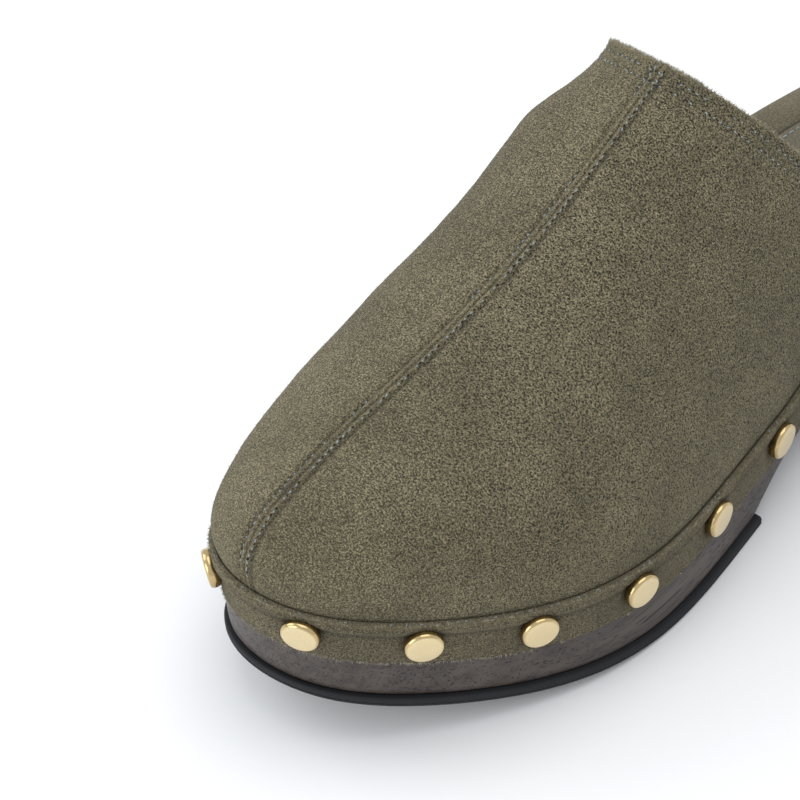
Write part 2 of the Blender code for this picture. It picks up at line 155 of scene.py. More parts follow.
def top_line(s):
    """Upper edge of the rand, and of the footbed behind it."""
    return bottom_line(s) + RAND_TOP + (HEEL_TOP - RAND_TOP) * rise(s)


def lean_at(z, s):
    """Sideways lean of the rand: its top stands further out than its foot."""
    return LEAN * (z - 0.5 * (low_line(s) + top_line(s)))


def underside(s):
    """Underside of the wood: flat forefoot, arched waist, steep breast, level heel seat."""
    seat = TOP_LIFT + 0.05
    flat = bottom_line(s) + OUTSOLE + 0.05
    climb = np.clip((s - OUTSOLE_END + 2.0) / (ARCH_TOP_S - OUTSOLE_END), 0.0, 1.0)
    arch = ARCH_RISE * np.sin(np.pi / 2 * climb)
    fall = smooth((s - BREAST_S) / BREAST_RUN)
    return (flat + arch) * (1.0 - fall) + seat * fall


def seam(s):
    """Centre seam: its sideways place, its height, and its slope."""
    heights = np.array([70.5, 78.0, 86.0, 98.3, VAMP_HEIGHT])
    places = np.array([TOE_SEAM_S, 42.0, 70.0, 100.0, THROAT_S])
    curve = np.polyfit(places / 100.0, heights, 4)
    x = OUTLINE_X[0] * (1.0 - smooth(s / THROAT_S))
    return x, np.polyval(curve, s / 100.0), np.polyval(np.polyder(curve), s / 100.0) / 100.0


# ---------------------------------------------------------------- the vamp's surface

SECTION = {1: ((0.75, 0.50, 0.30), (0.30, 0.60, 0.80)), -1: ((0.75, 0.23, 0.91), (0.30, 0.32, 1.66))}
BULGE = 0.25
# how far both are drawn in over the last part of the vamp, from DRAWN_FROM up to the topline
DRAWN_IN = {1: (0.0, 0.0), -1: (0.43, 0.37)}
DRAWN_FROM = 0.84
SEAM_EASE = 1.3


def blend3(values, u):
    """Quadratic blend of three values along the vamp."""
    return values[0] * (1 - u) ** 2 + 2 * values[1] * u * (1 - u) + values[2] * u * u


def vamp_point(u, v, side):
    """Outer face: v below 0 is the margin behind the rand, v from 0 to 1 climbs from the rand to the seam.

    Each section above the rand is a cubic curve from the sole edge to the centre seam.
    """
    angle = side * angle_at(RAND_END) * u
    x0, s0, nx, ns = outline(angle)
    top = top_line(s0)
    foot = low_line(s0) + 1.0 + GAP
    w = np.clip(v, 0.0, 1.0)[..., None]
    rise_by, reach_by = SECTION[side]
    face = UPPER_FACE + lean_at(top, s0)
    base = np.stack([x0 + nx * face, s0 + ns * face, top], -1)
    st = TOE_SEAM_S + (THROAT_S - TOE_SEAM_S) * u ** SEAM_EASE
    xt, zt, slope = seam(st)
    near_throat = smooth((u - DRAWN_FROM) / (1.0 - DRAWN_FROM))
    less_rise, less_reach = DRAWN_IN[side]
    up = (blend3(rise_by, u) - less_rise * near_throat) * (zt - top)
    reach = blend3(reach_by, u) - less_reach * near_throat
    back = np.minimum(base[..., 1] - st, 0.0) * reach
    first = base + np.stack([nx * BULGE * up, ns * BULGE * up, up], -1)
    last = np.stack([xt, st, zt], -1)
    near = last + np.stack([(base[..., 0] - xt) * reach, back, slope * back], -1)
    body = (1 - w) ** 3 * base + 3 * (1 - w) ** 2 * w * first + 3 * (1 - w) * w * w * near + w ** 3 * last
    drop = np.clip(-v, 0.0, 1.0) * (top - foot)
    shift = UPPER_FACE + lean_at(top - drop, s0) - face
    return body + np.stack([nx * shift, ns * shift, -drop], -1)


def unit(vectors):
    return vectors / np.maximum(np.linalg.norm(vectors, axis=-1, keepdims=True), 1e-12)


def vamp_normal(u, v, side):
    """Outward normal of vamp_point; on the seam it stays in the seam's upright plane."""
    step = 1e-3
    vv = np.where(v > 1 - step, 1 - step, v)
    uu = np.clip(u, step, 1 - step)
    du = vamp_point(uu + step, vv, side) - vamp_point(uu - step, vv, side)
    dv = vamp_point(uu, vv + step, side) - vamp_point(uu, vv - step, side)
    n = unit(np.cross(du, dv) * side)
    low = np.minimum(v + step, 1.0)
    up = vamp_point(u, low, 1) - vamp_point(u, low - 2 * step, 1)
    toe = unit(np.stack([0 * u, -up[..., 2], up[..., 1]], -1))
    _, _, slope = seam(TOE_SEAM_S + (THROAT_S - TOE_SEAM_S) * u ** SEAM_EASE)
    ridge = unit(np.stack([0 * u, -slope, 1 + 0 * u], -1))
    n = np.where((v > 1 - step)[..., None], ridge, n)
    return np.where((u < step)[..., None] & (v < 1 - step)[..., None], toe, n)


def seam_curve():
    """Points of the whole centre seam, from the rand at the toe up over the instep to the throat."""
    v = np.linspace(0.0, 1.0, 160)
    toe = vamp_point(0 * v, v, 1)
    u = np.linspace(0.0, 1.0, 400)[1:]
    return np.concatenate([toe, vamp_point(u, 1 + 0 * u, 1)])


def throat_curve(side):
    """Points of the topline on one side, from the rand up to the seam."""
    v = np.linspace(-0.2, 1.0, 260)
    return vamp_point(1 + 0 * v, v, side)


def distance_to(points, curve):
    """Distance from every point to the nearest point of a finely divided curve."""
    flat = points.reshape(-1, 3)
    near = np.full(len(flat), 1e9)
    for block in np.array_split(curve, 8):
        gap = np.linalg.norm(flat[:, None, :] - block[None, :, :], axis=-1).min(axis=1)
        near = np.minimum(near, gap)
    return near.reshape(points.shape[:-1])


def waves(points, wavelength, count, seed):
    """Soft unevenness between about -1 and 1: a sum of plane waves in random directions."""
    dice = np.random.default_rng(seed)
    turn = unit(dice.normal(size=(count, 3)))
    length = wavelength * dice.uniform(0.7, 1.5, count)
    phase = dice.uniform(0, 2 * np.pi, count)
    total = np.zeros(points.shape[:-1])
    for d, size, start in zip(turn, length, phase):
        total += np.sin(2 * np.pi * (points @ d) / size + start)
    return total / np.sqrt(count)


# ---------------------------------------------------------------- meshes from grids

def shift_to_frame():
    """Move from shoe coordinates to the frame, read off the outsole's and the top lift's CAD boxes."""
    fine = np.linspace(-np.pi, np.pi, 4001)
    lateral = outline(fine, OUTSOLE_OUT)[0].max()
    rear = outline(fine, -WALL_IN)[1].max()
    return np.array([
        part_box("forefoot_outsole")[1].x / MM - lateral,
        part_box("heel_top_lift")[1].y / MM - rear,
        0.0,
    ])


SHIFT = shift_to_frame()
BODY = "root"


def grid_faces(rows, cols, start=0, wrap=False):
    """Squares of a grid numbered row by row; wrap joins the last column to the first."""
    i = np.arange(rows - 1)[:, None] * cols
    j = np.arange(cols if wrap else cols - 1)[None, :]
    k = (j + 1) % cols
    return start + np.stack([i + j, i + cols + j, i + cols + k, i + k], -1).reshape(-1, 4)


def rim_of(rows, cols):
    """Indices of a grid's border points, in order round it, and of the inner point next to each."""
    i = np.concatenate([np.arange(rows - 1), np.full(cols - 1, rows - 1), np.arange(rows - 1, 0, -1),
                        np.zeros(cols - 1, int)])
    j = np.concatenate([np.zeros(rows - 1, int), np.arange(cols - 1), np.full(rows - 1, cols - 1),
                        np.arange(cols - 1, 0, -1)])
    return i * cols + j, np.clip(i, 1, rows - 2) * cols + np.clip(j, 1, cols - 2)


def swept(points, faces):
    """Six times the volume that faces of three or four corners close off from the origin."""
    first, second, third, last = (points[faces[:, k]] for k in (0, 1, 2, -1))
    return (first * (np.cross(second, third) + np.cross(third, last))).sum()


def new_piece(name, points, rows, material, fields=None):
    """Object on the shoe's body: points in shoe millimetres, lists of corners, values on the points."""
    data = bpy.data.meshes.new(name)
    data.from_pydata(((points + SHIFT) * MM).tolist(), [], rows)
    for key, values in (fields or {}).items():
        layer = data.attributes.new(key, "FLOAT", "POINT")
        layer.data.foreach_set("value", np.asarray(values, np.float32))
    data.materials.append(material)
    piece = bpy.data.objects.new(name, data)
    bpy.context.scene.collection.objects.link(piece)
    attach(piece, BODY)
    return piece


def put(name, points, faces, material, fields=None, sharp=None):
    """Closed smooth piece: faces are one array of corners or a tuple of them, turned if inside out."""
    groups = faces if isinstance(faces, tuple) else (faces,)
    if sum(swept(points, group) for group in groups) < 0:
        groups = [group[:, ::-1] for group in groups]
    rows = [row for group in groups for row in group.tolist()]
    piece = new_piece(name, points, rows, material, fields)
    piece.data.polygons.foreach_set("use_smooth", np.ones(len(rows), bool))
    if sharp:
        piece.data.set_sharp_from_angle(angle=np.radians(sharp))
    return piece


def shell(inner, rims, outer):
    """Closed body: an inner and an outer grid, with border rings between them as its edge."""
    rows, cols = outer.shape[:2]
    border, _ = rim_of(rows, cols)
    size = rows * cols
    points = np.concatenate([inner.reshape(-1, 3), outer.reshape(-1, 3)] + list(rims))
    base = grid_faces(rows, cols)
    faces = [base[:, ::-1], base + size]
    rings = [border] + [2 * size + n * len(border) + np.arange(len(border)) for n in range(len(rims))]
    rings.append(border + size)
    for low, high in zip(rings[:-1], rings[1:]):
        faces.append(np.stack([low, np.roll(low, -1), np.roll(high, -1), high], -1))
    return points, np.concatenate(faces)


def slab(inner, outer, bulge, levels=(0.12, 0.35, 0.65, 0.88)):
    """Sheet with a thickness whose cut edge bows outwards by bulge between its two faces."""
    rows, cols = outer.shape[:2]
    border, inside = rim_of(rows, cols)
    low, high = inner.reshape(-1, 3)[border], outer.reshape(-1, 3)[border]
    away = unit(outer.reshape(-1, 3)[border] - outer.reshape(-1, 3)[inside])
    rims = [low * (1 - t) + high * t + away * bulge * np.sin(np.pi * t) for t in levels]
    return shell(inner, rims, outer)


def plan_grid(angles, offset, height, across, level_rows=False):
    """Grid over the plan outline: straight lines from the medial to the lateral wall."""
    xl, sl, _, _ = outline(angles, offset)
    xm, sm, _, _ = outline(-angles, offset)
    f = np.linspace(0.0, 1.0, across + 1)
    x = xm[:, None] * (1 - f) + xl[:, None] * f
    s = sm[:, None] * (1 - f) + sl[:, None] * f
    own = (TIP_S + LENGTH * (1 - np.cos(angles)) / 2)[:, None]
    return np.stack([x, s, height(0 * s + own if level_rows else s)], -1)


def plan_body(angles, layers, across=30):
    """Closed body between the first and the last plan grid, with the others as rings of its wall."""
    grids = [plan_grid(angles, *layer[:2], across, *layer[2:]) for layer in layers]
    border, _ = rim_of(len(angles), across + 1)
    return shell(grids[0], [grid.reshape(-1, 3)[border] for grid in grids[1:-1]], grids[-1])


def stations(first_s, last_s, count):
    """Outline angles between two places along the shoe, a hair short of the tips."""
    first = 0.012 if first_s is None else angle_at(first_s)
    last = np.pi - 0.012 if last_s is None else angle_at(last_s)
    return np.linspace(first, last, count)


def sweep(angles, rows):
    """Closed tube along the outline: rows are (offset, height of s) pairs round the section.

    The offsets may be arrays along the path. The two ends are closed with fans of triangles.
    """
    _, s0, _, _ = outline(angles)
    loops = []
    for offset, height in rows:
        x, s, _, _ = outline(angles, offset)
        loops.append(np.stack([x, s, height(s0)], -1))
    grid = np.stack(loops, 1)
    count = grid.shape[1]
    ends = np.stack([grid[0].mean(axis=0), grid[-1].mean(axis=0)])
    last = (len(angles) - 1) * count
    ring = np.arange(count)
    middle = np.full(count, len(angles) * count)
    fans = np.concatenate([
        np.stack([middle, ring, np.roll(ring, -1)], -1),
        np.stack([middle + 1, last + np.roll(ring, -1), last + ring], -1),
    ])
    return np.concatenate([grid.reshape(-1, 3), ends]), (grid_faces(len(angles), count, wrap=True), fans)


# ---------------------------------------------------------------- shader node groups

def add_node(tree, kind, inputs=None, **settings):
    """Add a node, set its properties, and set or link its inputs by name or number."""
    made = tree.nodes.new(kind)
    for key, value in settings.items():
        setattr(made, key, value)
    for key, value in (inputs or {}).items():
        if isinstance(value, bpy.types.NodeSocket):
            tree.links.new(value, made.inputs[key])
        else:
            made.inputs[key].default_value = value
    return made


def new_group(name, inputs, outputs):
    """Empty shader node group with its named sockets; returns the tree and its two end nodes."""
    tree = bpy.data.node_groups.new(name, "ShaderNodeTree")
    for label, kind, start in inputs:
        socket = tree.interface.new_socket(name=label, in_out="INPUT", socket_type=kind)
        if start is not None:
            socket.default_value = start
    for label, kind in outputs:
        tree.interface.new_socket(name=label, in_out="OUTPUT", socket_type=kind)
    return tree, tree.nodes.new("NodeGroupInput"), tree.nodes.new("NodeGroupOutput")


def maths(tree, operation, a, b=0.0, clamp=False):
    return add_node(tree, "ShaderNodeMath", {0: a, 1: b}, operation=operation, use_clamp=clamp).outputs[0]


def stretch(tree, value, low, high, out_low=0.0, out_high=1.0):
    """Ease a value from one range into another."""
    made = add_node(tree, "ShaderNodeMapRange", {"Value": value, "From Min": low, "From Max": high,
                    "To Min": out_low, "To Max": out_high}, interpolation_type="SMOOTHSTEP")
    return made.outputs["Result"]


def mix(tree, factor, a, b, blend="MIX"):
    made = add_node(tree, "ShaderNodeMix", {"Factor": factor, 6: a, 7: b}, data_type="RGBA", blend_type=blend)
    return made.outputs[2]


def noise(tree, vector, scale, detail=2.0, rough=0.5, lacunarity=2.0):
    made = add_node(tree, "ShaderNodeTexNoise", {"Vector": vector, "Scale": scale, "Detail": detail,
                    "Roughness": rough, "Lacunarity": lacunarity})
    return made.outputs["Fac"]


def times(tree, a, b):
    return maths(tree, "MULTIPLY", a, b)


def plus(tree, a, b):
    return maths(tree, "ADD", a, b)


def scaled(tree, vector, factors):
    """Vector times three factors, one for each axis."""
    made = add_node(tree, "ShaderNodeVectorMath", {0: vector, 1: factors}, operation="MULTIPLY")
    return made.outputs[0]


def shaded(tree, colour, amount):
    """Colour made lighter or darker by one factor."""
    return add_node(tree, "ShaderNodeVectorMath", {0: colour, 3: amount}, operation="SCALE").outputs[0]


def wobbled(tree, vector, source, scale, reach):
    """Vector pushed about by a cloudy noise of the source, up to reach on each axis."""
    cloud = add_node(tree, "ShaderNodeTexNoise", {"Vector": source, "Scale": scale, "Detail": 1.0})
    push = scaled(tree, cloud.outputs["Color"], reach)
    return add_node(tree, "ShaderNodeVectorMath", {0: vector, 1: push}, operation="ADD").outputs[0]


def wire(tree, shader, colour, rough):
    """Link a colour and a roughness to the shader."""
    tree.links.new(colour, shader.inputs["Base Color"])
    tree.links.new(rough, shader.inputs["Roughness"])


def make_mottle_group():
    """Soft uneven tone: two sizes of cloudy noise around 1, for any finish."""
    tree, start, end = new_group(
        "soft_mottle",
        [("Vector", "NodeSocketVector", None), ("Size", "NodeSocketFloat", 60.0),
         ("Amount", "NodeSocketFloat", 0.2)],
        [("Value", "NodeSocketFloat")])
    broad = noise(tree, start.outputs["Vector"], start.outputs["Size"], 2.0, 0.5)
    small = noise(tree, start.outputs["Vector"], times(tree, start.outputs["Size"], 5.3), 3.0, 0.6)
    both = plus(tree, times(tree, broad, 0.65), times(tree, small, 0.35))
    spread = times(tree, maths(tree, "SUBTRACT", both, 0.5), times(tree, start.outputs["Amount"], 2.0))
    tree.links.new(plus(tree, spread, 1.0), end.inputs["Value"])
    return tree


def make_nap_group():
    """Suede nap: clumps of fibre with painted shade as dark pits between them, finer tufts on top whose
    lighter tips are partly their own colour and partly painted highlight, brushed light patches.
    """
    tree, start, end = new_group(
        "suede_nap",
        [("Vector", "NodeSocketVector", None), ("Base", "NodeSocketColor", (0.14, 0.12, 0.08, 1)),
         ("Pit", "NodeSocketColor", (0.03, 0.028, 0.02, 1)),
         ("Tip", "NodeSocketColor", (0.25, 0.22, 0.15, 1)),
         ("Pits", "NodeSocketFloat", 0.8), ("Tufts", "NodeSocketFloat", 0.5)],
        [("Color", "NodeSocketColor"), ("Height", "NodeSocketFloat")])
    vector = start.outputs["Vector"]
    place = wobbled(tree, vector, vector, 1300.0, (0.0003, 0.0003, 0.0003))
    clump = noise(tree, place, 2500.0, 2.0, 0.65)
    tuft = noise(tree, place, 5000.0, 1.0, 0.6)
    brushed = noise(tree, vector, 55.0, 3.0, 0.55)
    # painted shade: dark pits where the fibre clumps part
    pit = stretch(tree, clump, 0.52, 0.36)
    pit = times(tree, pit, start.outputs["Pits"])
    # lighter tufts: partly the fibres' own colour, partly painted highlight on their tips
    light = stretch(tree, plus(tree, times(tree, clump, 0.5), times(tree, tuft, 0.5)), 0.49, 0.62)
    light = times(tree, light, start.outputs["Tufts"])
    colour = mix(tree, light, start.outputs["Base"], start.outputs["Tip"])
    shade = stretch(tree, brushed, 0.3, 0.7, 0.86, 1.12)
    colour = mix(tree, pit, shaded(tree, colour, shade), start.outputs["Pit"])
    tree.links.new(colour, end.inputs["Color"])
    height = plus(tree, times(tree, stretch(tree, clump, 0.3, 0.62), 0.7), times(tree, tuft, 0.45))
    tree.links.new(height, end.inputs["Height"])
    return tree


MOTTLE = make_mottle_group()
NAP = make_nap_group()


def new_material(name, **sockets):
    """Material with one Principled shader; constant values go straight on its sockets."""
    material = bpy.data.materials.new(name)
    material.use_nodes = True
    tree = material.node_tree
    shader = tree.nodes["Principled BSDF"]
    for key, value in sockets.items():
        shader.inputs[key.replace("_", " ")].default_value = value
    place = tree.nodes.new("ShaderNodeTexCoord").outputs["Object"]
    return material, tree, shader, place


def set_bump(tree, shader, height, strength, distance):
    bump = add_node(tree, "ShaderNodeBump", {"Height": height, "Strength": strength, "Distance": distance})
    tree.links.new(bump.outputs["Normal"], shader.inputs["Normal"])


def placed(tree, group, **inputs):
    """Place a shared group in a material with this material's own values."""
    made = tree.nodes.new("ShaderNodeGroup")
    made.node_tree = group
    for key, value in inputs.items():
        if isinstance(value, bpy.types.NodeSocket):
            tree.links.new(value, made.inputs[key])
        else:
            made.inputs[key].default_value = value
    return made.outputs


def field(tree, name):
    """Value stored on the piece's own points."""
    return add_node(tree, "ShaderNodeAttribute", attribute_name=name).outputs["Fac"]


def suede_material(name, base, tip, pit, pits, bump):
    """Napped suede. The piece's fields: pale (lighter cut edge, plus painted highlight on the seam ridge and
    the rand's rolled top), painted shade (painted shade in creases, stitch grooves and round the studs),
    coarse.
    """
    material, tree, shader, place = new_material(
        name, Roughness=0.95, Specular_IOR_Level=0.18, Sheen_Weight=0.14, Sheen_Roughness=0.45,
        Sheen_Tint=(0.62, 0.58, 0.45, 1))
    along = scaled(tree, place, (0.72, 1.0, 0.9))
    coarse = field(tree, "coarse")
    nap = placed(tree, NAP, Vector=along, Base=base, Pit=pit, Tip=tip,
                 Pits=times(tree, coarse, pits), Tufts=1.0)
    # pale: lighter towards the tip colour, for cut edges and as painted highlight on the seam ridge and the
    # rand's rolled top
    pale = mix(tree, field(tree, "pale"), nap["Color"], tip)
    # painted shade: darkened towards the pit colour in creases, stitch grooves and round the studs
    dark = mix(tree, field(tree, "painted_shade"), pale, pit)
    wire(tree, shader, dark, stretch(tree, nap["Height"], 0.0, 1.0, 1.0, 0.86))
    set_bump(tree, shader, nap["Height"], 1.0, bump * MM)
    return material


def make_wood_material():
    """Dark stained hardwood with a thin worn polish: grain lines and open pores along the edge.

    The piece's fields: run (way walked round the edge from the toe), flat (1 on the two level faces).
    """
    material, tree, shader, place = new_material("stained_wood", Specular_IOR_Level=0.42)
    x, _, z = add_node(tree, "ShaderNodeSeparateXYZ", {0: place}).outputs
    run = field(tree, "run")
    edgewise = add_node(tree, "ShaderNodeCombineXYZ", {0: z, 1: run, 2: times(tree, x, 0.02)}).outputs[0]
    lengthwise = add_node(tree, "ShaderNodeCombineXYZ", {0: x, 1: run, 2: z}).outputs[0]
    chosen = mix(tree, field(tree, "flat"), edgewise, lengthwise)
    grain = wobbled(tree, chosen, scaled(tree, place, (30.0, 14.0, 30.0)), 1.0, (0.004, 0.0, 0.004))
    bands = noise(tree, scaled(tree, grain, (260.0, 9.0, 260.0)), 1.0, 3.0, 0.55)
    fine = noise(tree, scaled(tree, grain, (1700.0, 60.0, 1700.0)), 1.0, 2.0, 0.6)
    pores = noise(tree, scaled(tree, grain, (2100.0, 34.0, 2100.0)), 1.0, 1.0, 0.5)
    pore = stretch(tree, pores, 0.42, 0.34)
    mottle = placed(tree, MOTTLE, Vector=place, Size=28.0, Amount=0.28)["Value"]
    colour = mix(tree, stretch(tree, bands, 0.3, 0.7), (0.032, 0.025, 0.022, 1),
                 (0.068, 0.055, 0.047, 1))
    colour = mix(tree, times(tree, stretch(tree, fine, 0.35, 0.65), 0.35), colour, (0.094, 0.076, 0.066, 1))
    colour = shaded(tree, colour, mottle)
    colour = mix(tree, times(tree, pore, 0.8), colour, (0.012, 0.009, 0.008, 1))
    wire(tree, shader, colour, stretch(tree, plus(tree, fine, times(tree, pore, 0.5)), 0.2, 1.0, 0.36, 0.62))
    height = maths(tree, "SUBTRACT", times(tree, fine, 0.35), pore)
    set_bump(tree, shader, height, 0.6, 0.12 * MM)
    return material


def make_rubber_material():
    """Matte black moulded rubber with a fine even texture and scuffs."""
    material, tree, shader, place = new_material("black_rubber", Specular_IOR_Level=0.25)
    mottle = placed(tree, MOTTLE, Vector=place, Size=90.0, Amount=0.35)["Value"]
    fine = noise(tree, place, 2200.0, 2.0, 0.6)
    colour = shaded(tree, (0.017, 0.0175, 0.020), mottle)
    colour = mix(tree, stretch(tree, fine, 0.55, 0.8, 0.0, 0.25), colour, (0.05, 0.05, 0.055, 1))
    wire(tree, shader, colour, stretch(tree, fine, 0.2, 0.8, 0.62, 0.85))
    set_bump(tree, shader, fine, 0.5, 0.1 * MM)
    return material


def make_brass_material():
    """Satin brass with faint mottling, dents and fine scratches. The piece's field: rim (darker gold on the
    head's rounded edge, a painted reflection of the dark surroundings).
    """
    material, tree, shader, place = new_material("satin_brass", Metallic=1.0)
    mottle = placed(tree, MOTTLE, Vector=place, Size=240.0, Amount=0.10)["Value"]
    scratch = noise(tree, scaled(tree, place, (700.0, 5200.0, 1400.0)), 1.0, 2.0, 0.6)
    dents = noise(tree, place, 900.0, 1.0, 0.5)
    colour = shaded(tree, (0.79, 0.65, 0.39), mottle)
    colour = mix(tree, stretch(tree, scratch, 0.6, 0.8, 0.0, 0.25), colour, (0.62, 0.45, 0.2, 1))
    # rim: darker gold as painted reflection of the dark surroundings on the rounded edge
    colour = mix(tree, times(tree, field(tree, "rim"), 0.75), colour, (0.44, 0.31, 0.13, 1))
    wire(tree, shader, colour, stretch(tree, scratch, 0.2, 0.8, 0.13, 0.24))
    height = plus(tree, times(tree, dents, 0.5), times(tree, scratch, 0.1))
    set_bump(tree, shader, height, 0.12, 0.02 * MM)
    return material


def make_leather_material(name, base, crease, rough):
    """Smooth lining leather: pebbled creases between small cells, darkened as painted shade, soft tone
    changes, a low sheen.
    """
    material, tree, shader, place = new_material(name, Specular_IOR_Level=0.35)
    mottle = placed(tree, MOTTLE, Vector=place, Size=45.0, Amount=0.22)["Value"]
    cells = add_node(tree, "ShaderNodeTexVoronoi", {"Vector": place, "Scale": 900.0},
                     feature="DISTANCE_TO_EDGE")
    wrinkle = stretch(tree, cells.outputs["Distance"], 0.0, 0.16)
    # painted shade: the creases between the cells are mixed towards the dark crease colour
    colour = mix(tree, times(tree, maths(tree, "SUBTRACT", 1.0, wrinkle), 0.5), shaded(tree, base, mottle),
                 crease)
    wire(tree, shader, colour, stretch(tree, wrinkle, 0.0, 1.0, rough + 0.15, rough))
    set_bump(tree, shader, wrinkle, 0.4, 0.08 * MM)
    return material


def make_thread_material():
    """Pale blue-grey sewing thread: twisted plies with painted highlight on their crests and painted shade
    between them, seen as light and dark bands.
    """
    material, tree, shader, place = new_material("sewing_thread", Roughness=0.6, Sheen_Weight=0.3)
    bands = {"Vector": place, "Scale": 900.0, "Distortion": 2.0, "Detail": 1.0}
    plies = add_node(tree, "ShaderNodeTexWave", bands, bands_direction="DIAGONAL").outputs["Fac"]
    tone = placed(tree, MOTTLE, Vector=place, Size=160.0, Amount=0.5)["Value"]
    # light and dark bands: painted highlight and painted shade along the twist
    colour = mix(tree, plies, (0.12, 0.145, 0.155, 1), (0.34, 0.41, 0.435, 1))
    tree.links.new(shaded(tree, colour, tone), shader.inputs["Base Color"])
    set_bump(tree, shader, plies, 0.5, 0.08 * MM)
    return material


def make_fibre_material(name, dark, light):
    """Loose suede fibres, each a little lighter or darker than the next."""
    material, tree, shader, place = new_material(
        name, Roughness=0.95, Specular_IOR_Level=0.1, Sheen_Weight=0.2)
    tone = noise(tree, place, 700.0, 1.0, 0.5)
    tree.links.new(mix(tree, stretch(tree, tone, 0.3, 0.7), dark, light), shader.inputs["Base Color"])
    return material


def make_core_material(name, base, speck):
    """Hidden inner layer: pressed board or foam with small cells."""
    material, tree, shader, place = new_material(name, Roughness=0.9)
    cells = noise(tree, place, 1400.0, 3.0, 0.6)
    tree.links.new(mix(tree, stretch(tree, cells, 0.35, 0.65), base, speck), shader.inputs["Base Color"])
    set_bump(tree, shader, cells, 0.5, 0.1 * MM)
    return material


# ---------------------------------------------------------------- finishes

OLIVE = (0.143, 0.124, 0.074, 1)
OLIVE_TIP = (0.300, 0.260, 0.160, 1)
# near-black painted shade for the nap's pits and for creases and grooves
OLIVE_PIT_SHADE = (0.020, 0.018, 0.013, 1)
VAMP_SUEDE = suede_material("olive_suede", OLIVE, OLIVE_TIP, OLIVE_PIT_SHADE, 1.0, 0.42)
RAND_SUEDE = suede_material(
    "olive_suede_rand", (0.112, 0.095, 0.058, 1), (0.225, 0.193, 0.120, 1), OLIVE_PIT_SHADE, 0.8, 0.32)
BAND_SUEDE = suede_material(
    "olive_suede_padded", (0.135, 0.118, 0.075, 1), (0.21, 0.185, 0.125, 1), OLIVE_PIT_SHADE, 0.35, 0.2)
WOOD = make_wood_material()
RUBBER = make_rubber_material()
BRASS = make_brass_material()
SOCK_LEATHER = make_leather_material("sock_leather", (0.135, 0.117, 0.074), (0.055, 0.048, 0.03, 1), 0.5)
LINING_LEATHER = make_leather_material("lining_leather", (0.20, 0.175, 0.115), (0.10, 0.085, 0.055, 1), 0.5)
THREAD = make_thread_material()
FIBRES = make_fibre_material("suede_fibres", (0.115, 0.10, 0.066, 1), (0.24, 0.21, 0.145, 1))
EDGE_FIBRES = make_fibre_material("edge_fibres", (0.20, 0.175, 0.115, 1), (0.42, 0.375, 0.275, 1))
# needle holes: near-black painted shade in the holes
HOLES = make_fibre_material("needle_holes", (0.012, 0.011, 0.009, 1), (0.03, 0.027, 0.02, 1))


# ---------------------------------------------------------------- suede upper

def ridge_profile(across):
    """Height of the sewn seam by its signed distance: a rounded ridge between two stitch grooves."""
    ridge = 0.55 * np.exp(-((np.abs(across - 0.05) - 0.85) / 0.65) ** 2)
    grooves = 0.42 * np.exp(-((np.abs(across) - SEAM_ROW) / 0.55) ** 2)
    shoulder = 0.22 * np.exp(-((np.abs(across) - 4.2) / 1.6) ** 2)
    return ridge - grooves + shoulder


SEAM_LINE = seam_curve()
VAMP_U = np.concatenate([np.linspace(0.0, 0.06, 22)[:-1], np.linspace(0.06, 0.93, 122)[:-1],
                         np.linspace(0.93, 1.0, 20)])
VAMP_V = np.concatenate([np.linspace(-1.0, 0.0, 7)[:-1], np.linspace(0.0, 0.10, 9)[:-1],
                         np.linspace(0.10, 0.86, 62)[:-1], np.linspace(0.86, 1.0, 38)])


def vamp_grid(side):
    """Displaced outer face of one panel with its normals and its fields."""
    uu, vv = np.meshgrid(VAMP_U, VAMP_V, indexing="ij")
    points = vamp_point(uu, vv, side)
    normals = vamp_normal(uu, vv, side)
    from_seam = distance_to(points, SEAM_LINE)
    from_edge = distance_to(points, throat_curve(side))
    lift = ridge_profile(side * from_seam)
    for row in TOP_ROWS:
        lift -= 0.20 * np.exp(-((from_edge - row) / 0.6) ** 2)
    lift += 0.16 * waves(points, 24.0, 7, 5) + 0.05 * waves(points, 7.0, 9, 6)
    lift *= smooth(vv / 0.05)
    fields = {
        # Fields: painted shade in the stitch grooves beside the seam, in the crease at the rand and along the
        # seam's centre; pale as painted highlight on the seam's ridges and as the lighter cut topline edge;
        # coarse sets how much of the pits' painted shade shows, more on the lateral side and towards the
        # throat.
        "painted_shade": 0.30 * np.exp(-((from_seam - SEAM_ROW) / 0.5) ** 2)
        + 0.25 * (1 - smooth(vv / 0.008)) + 0.22 * np.exp(-(from_seam / 0.32) ** 2),
        "pale": 0.25 * np.exp(-((from_seam - 1.0) / 0.5) ** 2) + 0.55 * (1 - smooth(from_edge / 0.9)),
        "coarse": 0.55 + 0.45 * smooth(uu * 1.6) * (1.0 if side > 0 else 0.6),
    }
    return points + normals * lift[..., None], normals, fields


def make_panel(name, side, node):
    outer, normals, fields = vamp_grid(side)
    inner = outer - normals * SUEDE
    outer[..., 0] += side * 0.03 * (VAMP_V[None, :] >= 1.0)
    points, faces = slab(inner, outer, 0.18)
    extra = len(points) - 2 * outer[..., 0].size
    values = {}
    for key, face in fields.items():
        cut = 0.75 if key == "pale" else (0.3 if key == "coarse" else 0.0)
        values[key] = np.concatenate([face.ravel(), face.ravel(), np.full(extra, cut)])
    piece = put(name, points, faces, VAMP_SUEDE, values, sharp=60)
    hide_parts(node)
    return piece, outer, normals


# ---------------------------------------------------------------- sewing and fibres

def tree_of(piece):
    """Lookup of the nearest surface point on a finished piece."""
    data = piece.data
    return BVHTree.FromPolygons([v.co for v in data.vertices], [p.vertices for p in data.polygons])


